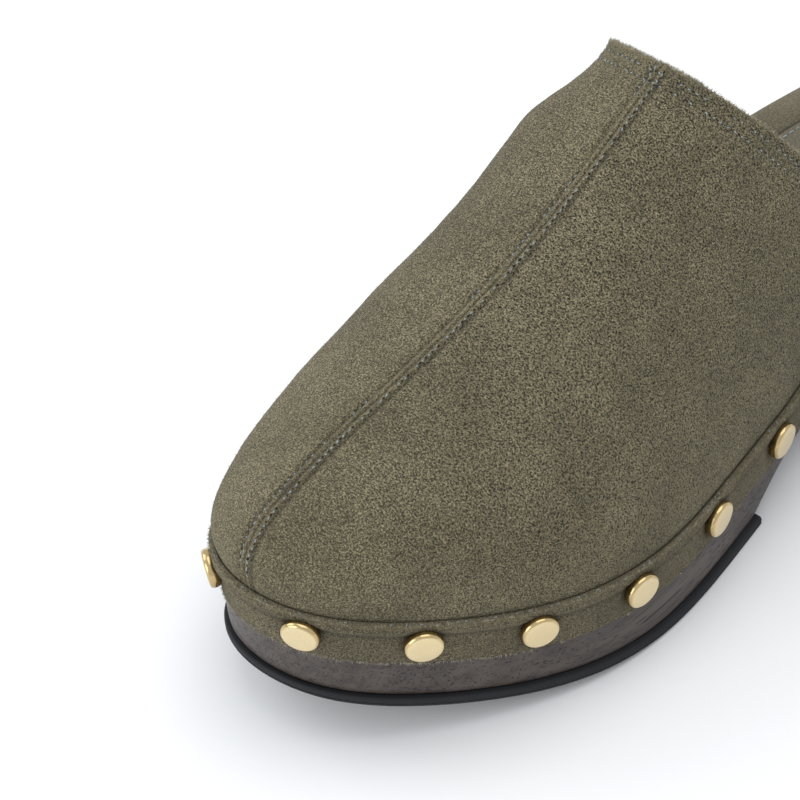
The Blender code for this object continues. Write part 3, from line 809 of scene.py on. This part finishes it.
def on_surface(trees, spots):
    """Nearest surface points, in shoe millimetres, and their normals, over one or more pieces."""
    places = []
    normals = []
    for spot in (spots + SHIFT) * MM:
        hits = [tree.find_nearest(Vector(spot)) for tree in trees]
        best = min(hits, key=lambda hit: hit[3])
        places.append(best[0])
        normals.append(best[1])
    return np.array(places) / MM - SHIFT, unit(np.array(normals))


def even_steps(curve, pitch, start=0.0):
    """Points at an even pitch along a curve, and the curve's direction at each."""
    run = np.concatenate([[0.0], np.cumsum(np.linalg.norm(np.diff(curve, axis=0), axis=1))])
    at = np.arange(start + pitch / 2, run[-1], pitch)
    spots = np.stack([np.interp(at, run, curve[:, k]) for k in range(3)], -1)
    ahead = np.stack([np.interp(at + 0.5, run, curve[:, k]) for k in range(3)], -1)
    behind = np.stack([np.interp(at - 0.5, run, curve[:, k]) for k in range(3)], -1)
    return spots, unit(ahead - behind)


def stitch_shape(length, radius, arch, sink):
    """One stitch: a thin tube along x that leaves the suede, arches over and goes back in."""
    t = np.linspace(-1, 1, 6)
    sides = np.linspace(0, 2 * np.pi, 6, endpoint=False)
    centre = np.stack([t * length / 2, 0 * t, arch * (1 - t ** 2) - sink], -1)
    size = radius * np.sqrt(np.clip(1.05 - np.abs(t) ** 4, 0.05, 1))
    ring = np.stack([0 * sides, np.cos(sides), np.sin(sides)], -1)
    points = centre[:, None, :] + size[:, None, None] * ring[None, :, :]
    faces = grid_faces(6, 6, wrap=True)
    caps = np.array([[0, 1, 2, 3], [0, 3, 4, 5]])
    return points.reshape(-1, 3), np.concatenate([faces, caps, caps[:, ::-1] + 30])


def stamp(shape, places, forward, normals, scale=None):
    """Copies of a small shape at many places, turned to lie along the surface."""
    points, faces = shape
    up = normals
    side = unit(np.cross(up, forward))
    ahead = np.cross(side, up)
    size = np.ones(len(places)) if scale is None else scale
    local = points[None, :, :] * size[:, None, None]
    world = (places[:, None, :] + local[..., 0:1] * ahead[:, None, :]
             + local[..., 1:2] * side[:, None, :] + local[..., 2:3] * up[:, None, :])
    count = len(places)
    faces = faces[None, :, :] + (np.arange(count) * len(points))[:, None, None]
    return world.reshape(-1, 3), faces.reshape(-1, faces.shape[-1])


def hole_shape(radius):
    """Needle hole: a shallow dimple, six-sided, coloured near-black as painted shade."""
    sides = np.linspace(0, 2 * np.pi, 6, endpoint=False)
    ring = np.stack([np.cos(sides), np.sin(sides), 0 * sides], -1)
    low = ring * radius + (0, 0, -0.25)
    high = ring * radius * (1.0, 0.8, 1.0) + (0, 0, 0.03)
    points = np.concatenate([low, high])
    faces = grid_faces(2, 6, wrap=True)
    caps = np.array([[0, 3, 2, 1], [0, 5, 4, 3]])
    return points, np.concatenate([faces, caps, caps[:, ::-1] + 6])


def sew(name, trees, rows, pitch, shape, jitter, holes=0.36, on=None):
    """A run of stitches along curves laid on the surface, with the needle holes between them."""
    made = []
    pits = []
    for row in rows:
        spots, ahead = even_steps(row, pitch)
        keep = np.ones(len(spots), bool) if on is None else RNG.random(len(spots)) < on
        spots, ahead = spots[keep], ahead[keep]
        places, normals = on_surface(trees, spots)
        swing = RNG.normal(0, jitter, (len(spots), 3))
        made.append(stamp(shape, places, unit(ahead + swing), normals, RNG.uniform(0.85, 1.12, len(spots))))
        if holes:
            between = places + ahead * pitch / 2
            laid, turned = on_surface(trees, between)
            pits.append(stamp(hole_shape(holes), laid, ahead, turned, RNG.uniform(0.75, 1.25, len(spots))))
    join_pieces(name, made, THREAD)
    if pits:
        join_pieces(name + "_holes", pits, HOLES)


def join_pieces(name, parts, material):
    """One piece from many small closed shapes."""
    points = []
    faces = []
    total = 0
    for some_points, some_faces in parts:
        points.append(some_points)
        faces.append(some_faces + total)
        total += len(some_points)
    return put(name, np.concatenate(points), np.concatenate(faces), material)


def fibres(name, roots, lean, lengths, width, material):
    """Loose fibres: three-sided spikes that bend a little on their way to a point."""
    count = len(roots)
    lean = unit(lean)
    side = unit(np.cross(lean, RNG.normal(size=(count, 3))))
    other = np.cross(lean, side)
    bend = side * RNG.normal(0, 0.28, (count, 1)) * lengths[:, None]
    turns = np.linspace(0, 2 * np.pi, 3, endpoint=False)
    ring = np.cos(turns)[None, :, None] * side[:, None, :] + np.sin(turns)[None, :, None] * other[:, None, :]
    base = roots[:, None, :] + ring * width / 2
    middle = (roots + lean * lengths[:, None] * 0.55 + bend * 0.35)[:, None, :] + ring * width * 0.36
    tip = (roots + lean * lengths[:, None] + bend)[:, None, :] + ring * width * 0.06
    points = np.concatenate([base, middle, tip], axis=1)
    quads = grid_faces(3, 3, wrap=True)
    caps = np.array([[0, 1, 2], [8, 7, 6]])
    step = (np.arange(count) * 9)[:, None, None]
    rows = (quads[None] + step).reshape(-1, 4).tolist() + (caps[None] + step).reshape(-1, 3).tolist()
    return new_piece(name, points.reshape(-1, 3), rows, material)


# ---------------------------------------------------------------- the upper and what holds it

lateral, lateral_face, lateral_normals = make_panel("upper_lateral_suede", 1, "upper_lateral")
medial, medial_face, medial_normals = make_panel("upper_medial_suede", -1, "upper_medial")
PANEL_TREES = [tree_of(lateral), tree_of(medial)]


def seam_rows():
    """Curves beside the centre seam, one on each side, and the two short ones at the throat."""
    ahead = unit(np.gradient(SEAM_LINE, axis=0))
    rows = []
    for side in (1, -1):
        _, normals = on_surface([PANEL_TREES[0 if side > 0 else 1]], SEAM_LINE + np.array([side * 0.8, 0, 0]))
        away = unit(np.cross(ahead, normals))
        away *= np.sign(away[:, :1]) * side
        padded = np.pad(away, ((12, 12), (0, 0)), mode="edge")
        even = [np.convolve(padded[:, k], np.ones(25) / 25, mode="valid") for k in range(3)]
        smoothed = np.stack(even, -1)
        rows.append(SEAM_LINE[10:-3] + unit(smoothed)[10:-3] * SEAM_ROW)
    return rows


def throat_rows():
    """Curves inside the topline on both panels, at the two row distances from the edge."""
    rows = []
    for side, face in ((1, lateral_face), (-1, medial_face)):
        for gap in TOP_ROWS:
            line = []
            for j in range(8, len(VAMP_V) - 1, 2):
                column = face[:, j]
                run = np.linalg.norm(column[-1] - column, axis=1)
                line.append([np.interp(-gap, -run, column[:, k]) for k in range(3)])
            rows.append(np.array(line))
    return rows


SEAM_STITCH = stitch_shape(0.85, 0.19, 0.24, 0.08)
sew("seam_stitches", PANEL_TREES, seam_rows(), SEAM_PITCH, SEAM_STITCH, 0.16, on=0.86)
sew("throat_stitches", PANEL_TREES, throat_rows(), TOP_PITCH,
    stitch_shape(0.85, 0.18, 0.2, 0.09), 0.16, on=0.75)


def make_vamp_lining():
    """Thin leather behind both suede panels, in one piece; it passes inside the toe puff."""
    u = np.linspace(0.0, 1.0, 90)
    v = np.concatenate([np.linspace(-1.0, 0.0, 6)[:-1], np.linspace(0.0, 1.0, 48)])
    halves = []
    for side in (-1, 1):
        uu, vv = np.meshgrid(u, v, indexing="ij")
        points = vamp_point(uu, vv, side)
        normals = vamp_normal(uu, vv, side)
        over_puff = 1.0 - smooth((uu - 0.333) / 0.12)
        depth = SUEDE + 0.15 + (PUFF + 0.5) * over_puff * smooth(vv / 0.1)
        halves.append((points - normals * depth[..., None], points - normals * (depth + LINING)[..., None]))
    outer = np.concatenate([halves[0][0], halves[1][0][:, -2::-1]], axis=1)
    inner = np.concatenate([halves[0][1], halves[1][1][:, -2::-1]], axis=1)
    points, faces = slab(inner, outer, 0.1)
    piece = put("vamp_lining_leather", points, faces, LINING_LEATHER, sharp=60)
    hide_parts("vamp_lining")


make_vamp_lining()


# ---------------------------------------------------------------- rand and padded heel edge

def stud_spots():
    """Place and outward direction of each stud, evenly spaced along the rand."""
    fine = np.linspace(angle_at(STUD_FIRST_S), -angle_at(STUD_LAST_S), 1500)
    x, s, _, _ = outline(fine, RAND_FACE)
    run = np.concatenate([[0.0], np.cumsum(np.hypot(np.diff(x), np.diff(s)))])
    angles = np.interp(np.linspace(0.0, run[-1], STUD_COUNT) + np.array(STUD_SHIFT), run, fine)
    x, s, nx, ns = outline(angles, RAND_FACE)
    middle = 0.5 * (low_line(s) + top_line(s))
    climb = (0.5 * (low_line(s + 0.5) + top_line(s + 0.5)) - middle) * 2.0 * nx * LEAN
    out = unit(np.stack([nx - ns * climb, ns + nx * climb, np.full_like(nx, -STUD_TILT)], -1))
    return np.stack([x, s, middle + STUD_RAISE], -1), out


STUD_PLACES, STUD_OUT = stud_spots()

# section of the rand, from its lower outer edge up over the rolled top and down its back
RAND_SECTION = (
    (-1.25, "low", 0.25), (-0.7, "low", 0.0), (-0.2, "low", 0.05), (0.08, "low", 0.35), (0.12, "low", 0.9),
    (0.05, "low", 2.5), (0.0, "low", 4.5), (-0.05, "top", -8.0), (-0.12, "top", -5.8), (-0.32, "top", -4.4),
    (-0.05, "top", -3.6), (0.25, "top", -3.0), (0.52, "top", -2.3), (0.62, "top", -1.6), (0.5, "top", -0.85),
    (0.1, "top", -0.2), (-0.4, "top", 0.18), (-0.95, "top", 0.38), (-1.4, "top", 0.42),
    (-1.62, "top", 0.15), (-1.62, "top", -4.5), (-1.5, "top", -8.0), (-1.4, "low", 3.0), (-1.35, "low", 1.2),
)


def make_rand():
    """Suede strip round the edge: rolled top, flat face pressed in round the studs, rough cut lower edge."""
    angles = np.linspace(angle_at(RAND_END + 0.3), -angle_at(RAND_END + 0.3), 620)
    _, s0, _, _ = outline(angles)
    x0, y0, _, _ = outline(angles, RAND_FACE)
    path = np.stack([x0, y0, 0 * x0], -1)
    ragged = 0.22 * waves(path, 5.0, 9, 11) + 0.15 * waves(path, 1.9, 9, 12)
    roll = 1.0 + 0.10 * waves(path, 16.0, 6, 13)
    wander = 0.12 * waves(path, 30.0, 5, 14)
    rows = []
    marks = []
    for out, line, up in RAND_SECTION:
        edge = low_line if line == "low" else top_line
        z = edge(s0) + up
        if line == "low" and up < 1.0:
            z = z + ragged * (1.0 - up)
        bead = out * np.where((line == "top") and (up > -3.8) and (out > 0), roll, 1.0)
        spot = np.stack([x0, y0, z], -1)
        gap = distance_to(spot, STUD_PLACES)
        press = 0.30 * np.exp(-(np.clip(gap - 4.6, 0, None) / 1.6) ** 2) * (out > -0.5)
        offset = RAND_FACE + bead + wander * (out > -0.6) + lean_at(z, s0) - press
        rows.append((offset, lambda s, z=z: z))
        # Fields: pale for the rough cut lower edge's own lighter colour and as painted highlight along the
        # rolled top; painted shade round the studs, in the groove under the roll and on the back face;
        # coarse.
        marks.append(np.stack([
            0.45 * (up > -0.5) * (line == "top") + 0.5 * (line == "low") * (up < 0.3) * (out < 0.1) + 0 * s0,
            0.5 * np.exp(-(np.clip(gap - 4.9, 0, None) / 0.8) ** 2) + 0.4 * (line == "top") * (-5 < up < -3.4)
            + 0.6 * (out < -1.5),
            0.9 + 0 * s0,
        ], -1))
    marks = np.stack(marks, 1).reshape(-1, 3)
    marks = np.concatenate([marks, np.tile([0.3, 0.0, 0.8], (2, 1))])
    points, faces = sweep(angles, rows)
    piece = put("rand_suede", points, faces, RAND_SUEDE,
                {"pale": marks[:, 0], "painted_shade": np.clip(marks[:, 1], 0, 0.9), "coarse": marks[:, 2]})
    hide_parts("rand_strip")
    return piece, angles, ragged


rand, RAND_ANGLES, RAGGED = make_rand()


def make_heel_band():
    """Padded suede edge of the footbed: it rolls over the edge of the wood and ends in a cut edge below."""
    start = angle_at(RAND_END + 0.9)
    angles = np.linspace(start, 2 * np.pi - start, 300)
    outer = np.array([(-15.2, 0.15), (-14.6, 0.75), (-12.5, 1.2), (-10.0, 1.35), (-7.5, 1.2), (-5.0, 0.6),
                      (-3.0, -0.4), (-1.4, -1.7), (-0.35, -3.3), (0.15, -5.0), (0.38, -6.8), (0.42, -8.2),
                      (0.3, -9.0), (-0.1, -9.25)])
    inner = np.array([(-0.8, -9.15), (-1.15, -8.6), (-1.2, -7.0), (-1.5, -5.2), (-2.4, -3.4), (-4.2, -1.6),
                      (-6.6, -0.8), (-10.0, -0.4), (-14.2, -0.8), (-15.1, -0.5)])
    x0, y0, _, _ = outline(angles)
    path = np.stack([x0, y0, 0 * x0], -1)
    soft = 0.14 * waves(path, 22.0, 6, 21)
    ends = np.minimum(np.arange(300), np.arange(300)[::-1]) / 300.0
    close = 1.0 - 0.30 * (1.0 - smooth(ends / 0.012))
    rows = []
    marks = []
    for n, (out, up) in enumerate(np.concatenate([outer, inner])):
        face = n < len(outer)
        rows.append((out + soft * face, lambda s, up=up: top_line(s) + up * close))
        # Fields: pale on the cut lower edge, painted shade where the band's inner edge meets the sock,
        # coarse.
        marks.append([0.35 if n in (12, 13) else 0.0, 0.5 if n in (0, 23) else 0.0, 0.7])
    marks = np.tile(np.array(marks), (300, 1))
    marks = np.concatenate([marks, np.tile([0.3, 0.0, 0.7], (2, 1))])
    points, faces = sweep(angles, rows)
    piece = put("heel_band_suede", points, faces, BAND_SUEDE,
                {"pale": marks[:, 0], "painted_shade": marks[:, 1], "coarse": marks[:, 2]})
    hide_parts("heel_wrap_band")
    return piece


band = make_heel_band()


# ---------------------------------------------------------------- footbed, wood and rubber

def above(line, up):
    """Height of a line of the shoe, raised by up."""
    return lambda s: line(s) + up


def ground(s):
    return 0 * s


def sock_height(s):
    """The sock lies on the cushion just above the wood, level with the padded edge's foot."""
    return top_line(s) + 0.25


def sock_inset(angles):
    s = TIP_S + LENGTH * (1 - np.cos(angles)) / 2
    return -5.0 - (BAND_WIDTH + 0.1 - 5.0) * smooth((s - 178.0) / 12.0)


def make_sock():
    """Smooth sock over the cushion, crowned a little in the middle."""
    angles = stations(None, None, 260)
    inset = sock_inset(angles)
    grid = plan_grid(angles, inset, sock_height, 40)
    f = np.linspace(-1, 1, 41)[None, :]
    crown = 0.9 * (1 - f ** 2) * smooth(np.minimum(np.arange(260), np.arange(260)[::-1]) / 25.0)[:, None]
    grid[..., 2] += crown + 0.12 * waves(grid, 30.0, 6, 31)
    inner = grid.copy()
    inner[..., 2] -= SOCK + 0.9
    points, faces = slab(inner, grid, 0.1)
    piece = put("sock_leather_sheet", points, faces, SOCK_LEATHER, sharp=60)
    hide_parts("footbed_sock")
    return piece


sock = make_sock()


def sock_row():
    """Stitch curve just inside the sock's edge, round the heel as far forward as the instep."""
    angles = np.linspace(angle_at(118.0), 2 * np.pi - angle_at(118.0), 500)
    side = np.where(angles > np.pi, 2 * np.pi - angles, angles)
    x, s, _, _ = outline(angles, sock_inset(side) - SOCK_ROW)
    return np.stack([x, s, sock_height(s) + 0.5], -1)


sew("sock_stitches", [tree_of(sock)], [sock_row()], SOCK_PITCH,
    stitch_shape(1.9, 0.24, 0.2, 0.1), 0.04, holes=0.3)


def rebate_depth(s):
    """Depth of the ledge for the upper's margin and the rand; it fades out under the heel's padded edge."""
    deep = -(UPPER_FACE - SUEDE - GAP - LINING - GAP)
    return deep + (BACK_IN + 0.5 - deep) * smooth((s - RAND_END - 1.0) / 8.0)


def make_wood():
    """One block: flat forefoot with toe spring, arched waist, tall heel; eased lower edges."""
    angles = np.unique(np.concatenate([stations(None, None, 420), angle_at(np.linspace(174, 186, 40))]))
    s = TIP_S + LENGTH * (1 - np.cos(angles)) / 2
    depth = rebate_depth(s)
    tuck = lean_at(top_line(s), s)
    heel = rise(s)
    drop = GAP + FOAM + GAP + SOCK - 0.2
    layers = [
        (-WALL_IN - 1.2, underside),
        (-WALL_IN - 0.75, above(underside, 0.15)),
        (-WALL_IN - 0.3, above(underside, 0.5)),
        (-WALL_IN - 0.05, above(underside, 1.0)),
        (-WALL_IN + 0.05, above(underside, 2.0)),
        (-WALL_IN + 0.1, lambda q: 0.5 * (underside(q) + low_line(q))),
        (-WALL_IN, above(low_line, -0.1), True),
        (-BACK_IN, above(low_line, -0.1), True),
        (-BACK_IN, above(low_line, 1.0), True),
        (-depth - tuck, above(low_line, 1.0), True),
        (-depth, lambda q: top_line(q) - drop - (0.6 + 3.4 * heel)[:, None]),
        (-depth - 0.6 - 2.4 * heel, lambda q: top_line(q) - drop),
    ]
    points, faces = plan_body(angles, layers)
    x0, s0, _, _ = outline(np.linspace(0.0, np.pi, 400))
    walked = np.concatenate([[0.0], np.cumsum(np.hypot(np.diff(x0), np.diff(s0)))])
    run = np.interp(points[:, 1], s0, walked) * MM
    border = len(angles) * 31
    flat = np.zeros(len(points))
    flat[:border] = 1.0
    flat[-border:] = 1.0
    piece = put("wood_sole_stained", points, faces, WOOD, {"run": run, "flat": flat}, sharp=50)
    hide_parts("wood_sole")


make_wood()


# walls of the rubber pieces from the ground up: how far out, and how high
OUTSOLE_WALL = (
    (-1.0, 0.0), (-0.45, 0.12), (-0.1, 0.5), (0.0, 0.95), (-0.02, 1.15), (-0.3, 1.3), (-0.02, 1.45),
    (0.0, 1.7), (-0.04, 2.5), (-0.25, 2.95), (-0.7, 3.17), (-2.2, OUTSOLE),
)
LIFT_WALL = (
    (-0.8, 0.0), (-0.3, 0.12), (0.0, 0.6), (0.0, TOP_LIFT - 0.5), (-0.35, TOP_LIFT - 0.1), (-1.2, TOP_LIFT),
)


def make_outsole():
    """Moulded rubber under the forefoot: rounded rim with a fine groove, plain underneath."""
    layers = [(OUTSOLE_OUT + out, above(bottom_line, up)) for out, up in OUTSOLE_WALL]
    points, faces = plan_body(stations(None, OUTSOLE_END, 330), layers, 60)
    piece = put("forefoot_outsole_rubber", points, faces, RUBBER, sharp=70)
    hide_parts("forefoot_outsole")


make_outsole()


def make_top_lift():
    """Rubber lift under the heel, flush with the wood."""
    layers = [(-WALL_IN + out, above(ground, up)) for out, up in LIFT_WALL]
    points, faces = plan_body(stations(BREAST_S + BREAST_RUN, None, 180), layers)
    piece = put("heel_top_lift_rubber", points, faces, RUBBER, sharp=70)
    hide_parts("heel_top_lift")


make_top_lift()


# ---------------------------------------------------------------- studs

def make_stud(number, place, out):
    """Clog nail head: a profile of radius and height turned round its axis; slightly domed face."""
    profile = np.array([
        (0.0, -1.0), (4.2, -0.9), (4.75, -0.35), (4.95, 0.15), (5.12, 0.6), (5.2, 1.1), (5.2, 1.5),
        (5.14, 1.85),
        (5.02, 2.15), (4.84, 2.38), (4.6, 2.54), (4.35, 2.62), (4.1, 2.65), (2.6, 2.69), (1.2, 2.72),
        (0.0, 2.73),
    ])
    turns = np.linspace(0, 2 * np.pi, STUD_TURNS, endpoint=False)
    across = unit(np.cross(out, (0.0, 0.0, 1.0)))
    up = np.cross(across, out)
    ring = np.cos(turns)[:, None] * across + np.sin(turns)[:, None] * up
    radius = np.maximum(profile[:, 0], 0.02)
    points = place + profile[:, 1][:, None, None] * out + radius[:, None, None] * ring[None]
    faces = grid_faces(len(profile), STUD_TURNS, wrap=True)
    # rim field: where the head's rounded edge gets the painted reflection of darker gold
    rim = np.repeat(smooth((profile[:, 0] - 4.3) / 0.7), STUD_TURNS)
    piece = put(f"brass_stud_{number:02d}", points.reshape(-1, 3), faces, BRASS, {"rim": rim}, sharp=80)
    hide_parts(f"stud_{number:02d}")


for number, (place, out) in enumerate(zip(STUD_PLACES, STUD_OUT), start=1):
    make_stud(number, place, out)


# ---------------------------------------------------------------- thread in the crease and loose fibres

def crease_row():
    """Curve in the crease between the vamp and the rand's rolled top."""
    angles = np.linspace(angle_at(RAND_END - 3), -angle_at(RAND_END - 3), 900)
    _, s0, _, _ = outline(angles)
    z = top_line(s0)
    x, s, _, _ = outline(angles, RAND_FACE - 0.75 + lean_at(z, s0))
    return np.stack([x, s, z + 0.2], -1)


sew("crease_stitches", [tree_of(rand)], [crease_row()], 1.9,
    stitch_shape(0.9, 0.17, 0.12, 0.02), 0.45, holes=None, on=0.3)


def throat_fuzz():
    """Fibres along the raw topline edge of both panels."""
    roots = []
    lean = []
    for face, normals in ((lateral_face, lateral_normals), (medial_face, medial_normals)):
        count = 2600
        at = RNG.uniform(7, len(VAMP_V) - 1.001, count)
        low = at.astype(int)
        part = (at - low)[:, None]
        edge = face[-1, low] * (1 - part) + face[-1, low + 1] * part
        normal = normals[-1, low]
        away = unit(face[-1, low] - face[-3, low])
        depth = RNG.uniform(0.0, SUEDE, (count, 1))
        roots.append(edge - normal * depth - away * 0.05)
        lean.append(away + normal * (0.55 - depth * 0.5) + RNG.normal(0, 0.45, (count, 3)))
    roots = np.concatenate(roots)
    lengths = 0.3 + 1.1 * RNG.random(len(roots)) ** 2
    return fibres("topline_fuzz", roots, np.concatenate(lean), lengths, 0.15, EDGE_FIBRES)


def nap_fuzz():
    """Short leaning fibres scattered over the suede panels."""
    roots = []
    lean = []
    for face, normals in ((lateral_face, lateral_normals), (medial_face, medial_normals)):
        count = 6400
        i = RNG.integers(0, face.shape[0] - 1, count)
        j = RNG.integers(8, face.shape[1] - 1, count)
        a, b = RNG.random((count, 1)), RNG.random((count, 1))
        spot = ((face[i, j] * (1 - a) + face[i + 1, j] * a) * (1 - b)
                + (face[i, j + 1] * (1 - a) + face[i + 1, j + 1] * a) * b)
        down = unit(face[i, j - 1] - face[i, j])
        roots.append(spot - normals[i, j] * 0.05)
        lean.append(normals[i, j] * 0.7 + down * 0.5 + RNG.normal(0, 0.35, (count, 3)))
    roots = np.concatenate(roots)
    return fibres("nap_fibres", roots, np.concatenate(lean), RNG.uniform(0.25, 0.7, len(roots)), 0.10, FIBRES)


def rand_fuzz():
    """Fibres and small tufts along the rand's rough lower edge."""
    count = 4200
    at = np.sort(RNG.uniform(0, len(RAND_ANGLES) - 1.001, count))
    tufts = RNG.uniform(0, len(RAND_ANGLES) - 1.001, 46)
    at[:1200] = np.clip(RNG.choice(tufts, 1200) + RNG.normal(0, 0.35, 1200), 0, len(RAND_ANGLES) - 1.001)
    angles = np.interp(at, np.arange(len(RAND_ANGLES)), RAND_ANGLES)
    ragged = np.interp(at, np.arange(len(RAND_ANGLES)), RAGGED)
    _, s0, nx, ns = outline(angles)
    z = low_line(s0) + ragged + 0.15
    deep = RNG.uniform(-0.9, 0.1, count)
    x, s, _, _ = outline(angles, RAND_FACE + deep + lean_at(z, s0))
    lean = np.stack([nx * 0.5, ns * 0.5, -0.9 + 0 * nx], -1) + RNG.normal(0, 0.4, (count, 3))
    lengths = RNG.uniform(0.3, 1.0, count)
    return fibres("rand_edge_fuzz", np.stack([x, s, z], -1), lean, lengths, 0.15, EDGE_FIBRES)


def bead_fuzz():
    """Pale rubbed fibres along the top of the rand's rolled edge, thicker in some places."""
    count = 7000
    at = RNG.uniform(0, 1, count)
    tufts = RNG.uniform(0, 1, 60)
    at[:2600] = np.clip(RNG.choice(tufts, 2600) + RNG.normal(0, 0.004, 2600), 0, 1)
    angles = RAND_ANGLES[0] + (RAND_ANGLES[-1] - RAND_ANGLES[0]) * at
    _, s0, nx, ns = outline(angles)
    z = top_line(s0) + 0.15
    x, s, _, _ = outline(angles, RAND_FACE + RNG.uniform(-1.3, 0.2, count) + lean_at(z, s0))
    lean = np.stack([nx * 0.5, ns * 0.5, 0.8 + 0 * nx], -1) + RNG.normal(0, 0.5, (count, 3))
    lengths = RNG.uniform(0.25, 0.8, count)
    return fibres("rand_bead_fuzz", np.stack([x, s, z], -1), lean, lengths, 0.16, EDGE_FIBRES)


for piece in (throat_fuzz(), nap_fuzz(), rand_fuzz(), bead_fuzz()):
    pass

# hidden layers, which keep their CAD shape: node, material name, base colour, speck colour
for node, name, base, speck in (
        ("toe_puff", "pressed_toe_board", (0.5, 0.44, 0.33, 1), (0.38, 0.32, 0.22, 1)),
        ("footbed_foam", "cushion_foam", (0.6, 0.57, 0.46, 1), (0.42, 0.39, 0.3, 1))):
    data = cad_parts[node].data
    data.materials.clear()
    data.materials.append(make_core_material(name, base, speck))


# ---------------------------------------------------------------- stage, light and camera

def make_stage():
    """Plain pale floor."""
    data = bpy.data.meshes.new("floor")
    reach = 6.0
    corners = [(-reach, -reach, 0), (reach, -reach, 0), (reach, reach, 0), (-reach, reach, 0)]
    data.from_pydata(corners, [], [(0, 1, 2, 3)])
    material = bpy.data.materials.new("pale_floor")
    material.use_nodes = True
    shader = material.node_tree.nodes["Principled BSDF"]
    shader.inputs["Base Color"].default_value = (0.87, 0.87, 0.875, 1)
    shader.inputs["Roughness"].default_value = 0.8
    shader.inputs["Specular IOR Level"].default_value = 0.1
    data.materials.append(material)
    floor = bpy.data.objects.new("floor", data)
    bpy.context.scene.collection.objects.link(floor)


def make_light(name, place, aim, size, power, colour=(1, 1, 1)):
    """Square softbox at a place, aimed at a point, in metres."""
    lamp = bpy.data.lights.new(name, "AREA")
    lamp.shape = "SQUARE"
    lamp.size = size
    lamp.energy = power
    lamp.color = colour
    box = bpy.data.objects.new(name, lamp)
    box.location = place
    box.rotation_euler = (Vector(aim) - Vector(place)).to_track_quat("-Z", "Y").to_euler()
    bpy.context.scene.collection.objects.link(box)


def make_camera():
    """Long lens, high three-quarter view of the toe and the lateral side."""
    across = Vector((0.7178, 0.6907, -0.0879))
    up = Vector((-0.4290, 0.5381, 0.7256))
    back = across.cross(up).normalized()
    up = back.cross(across).normalized()
    across = up.cross(back)
    place = Vector((0.411072, -0.315643, 0.594724)) + Vector(SHIFT * MM)
    turn = Matrix((across, up, back)).transposed().to_4x4()
    data = bpy.data.cameras.new("camera")
    data.lens = 137.42
    data.sensor_width = 36.0
    data.clip_start = 0.05
    camera = bpy.data.objects.new("camera", data)
    camera.matrix_world = Matrix.Translation(place) @ turn
    bpy.context.scene.collection.objects.link(camera)
    bpy.context.scene.camera = camera


def make_world():
    world = bpy.data.worlds.new("studio")
    world.use_nodes = True
    sky = world.node_tree.nodes["Background"]
    sky.inputs["Color"].default_value = (0.94, 0.965, 1.0, 1)
    sky.inputs["Strength"].default_value = 0.90
    bpy.context.scene.world = world


make_stage()
make_world()
make_light("overhead", (0.15, 0.35, 1.9), (0.0, 0.0, 0.0), 1.6, 11.0)
make_light("left_fill", (-1.5, -0.5, 1.2), (0.0, 0.0, 0.05), 1.2, 9.0, (0.93, 0.97, 1.0))
make_light("front_fill", (-0.4, -1.9, 0.8), (0.0, 0.0, 0.05), 1.3, 13.0)
make_camera()
bpy.context.scene.view_settings.view_transform = "Standard"
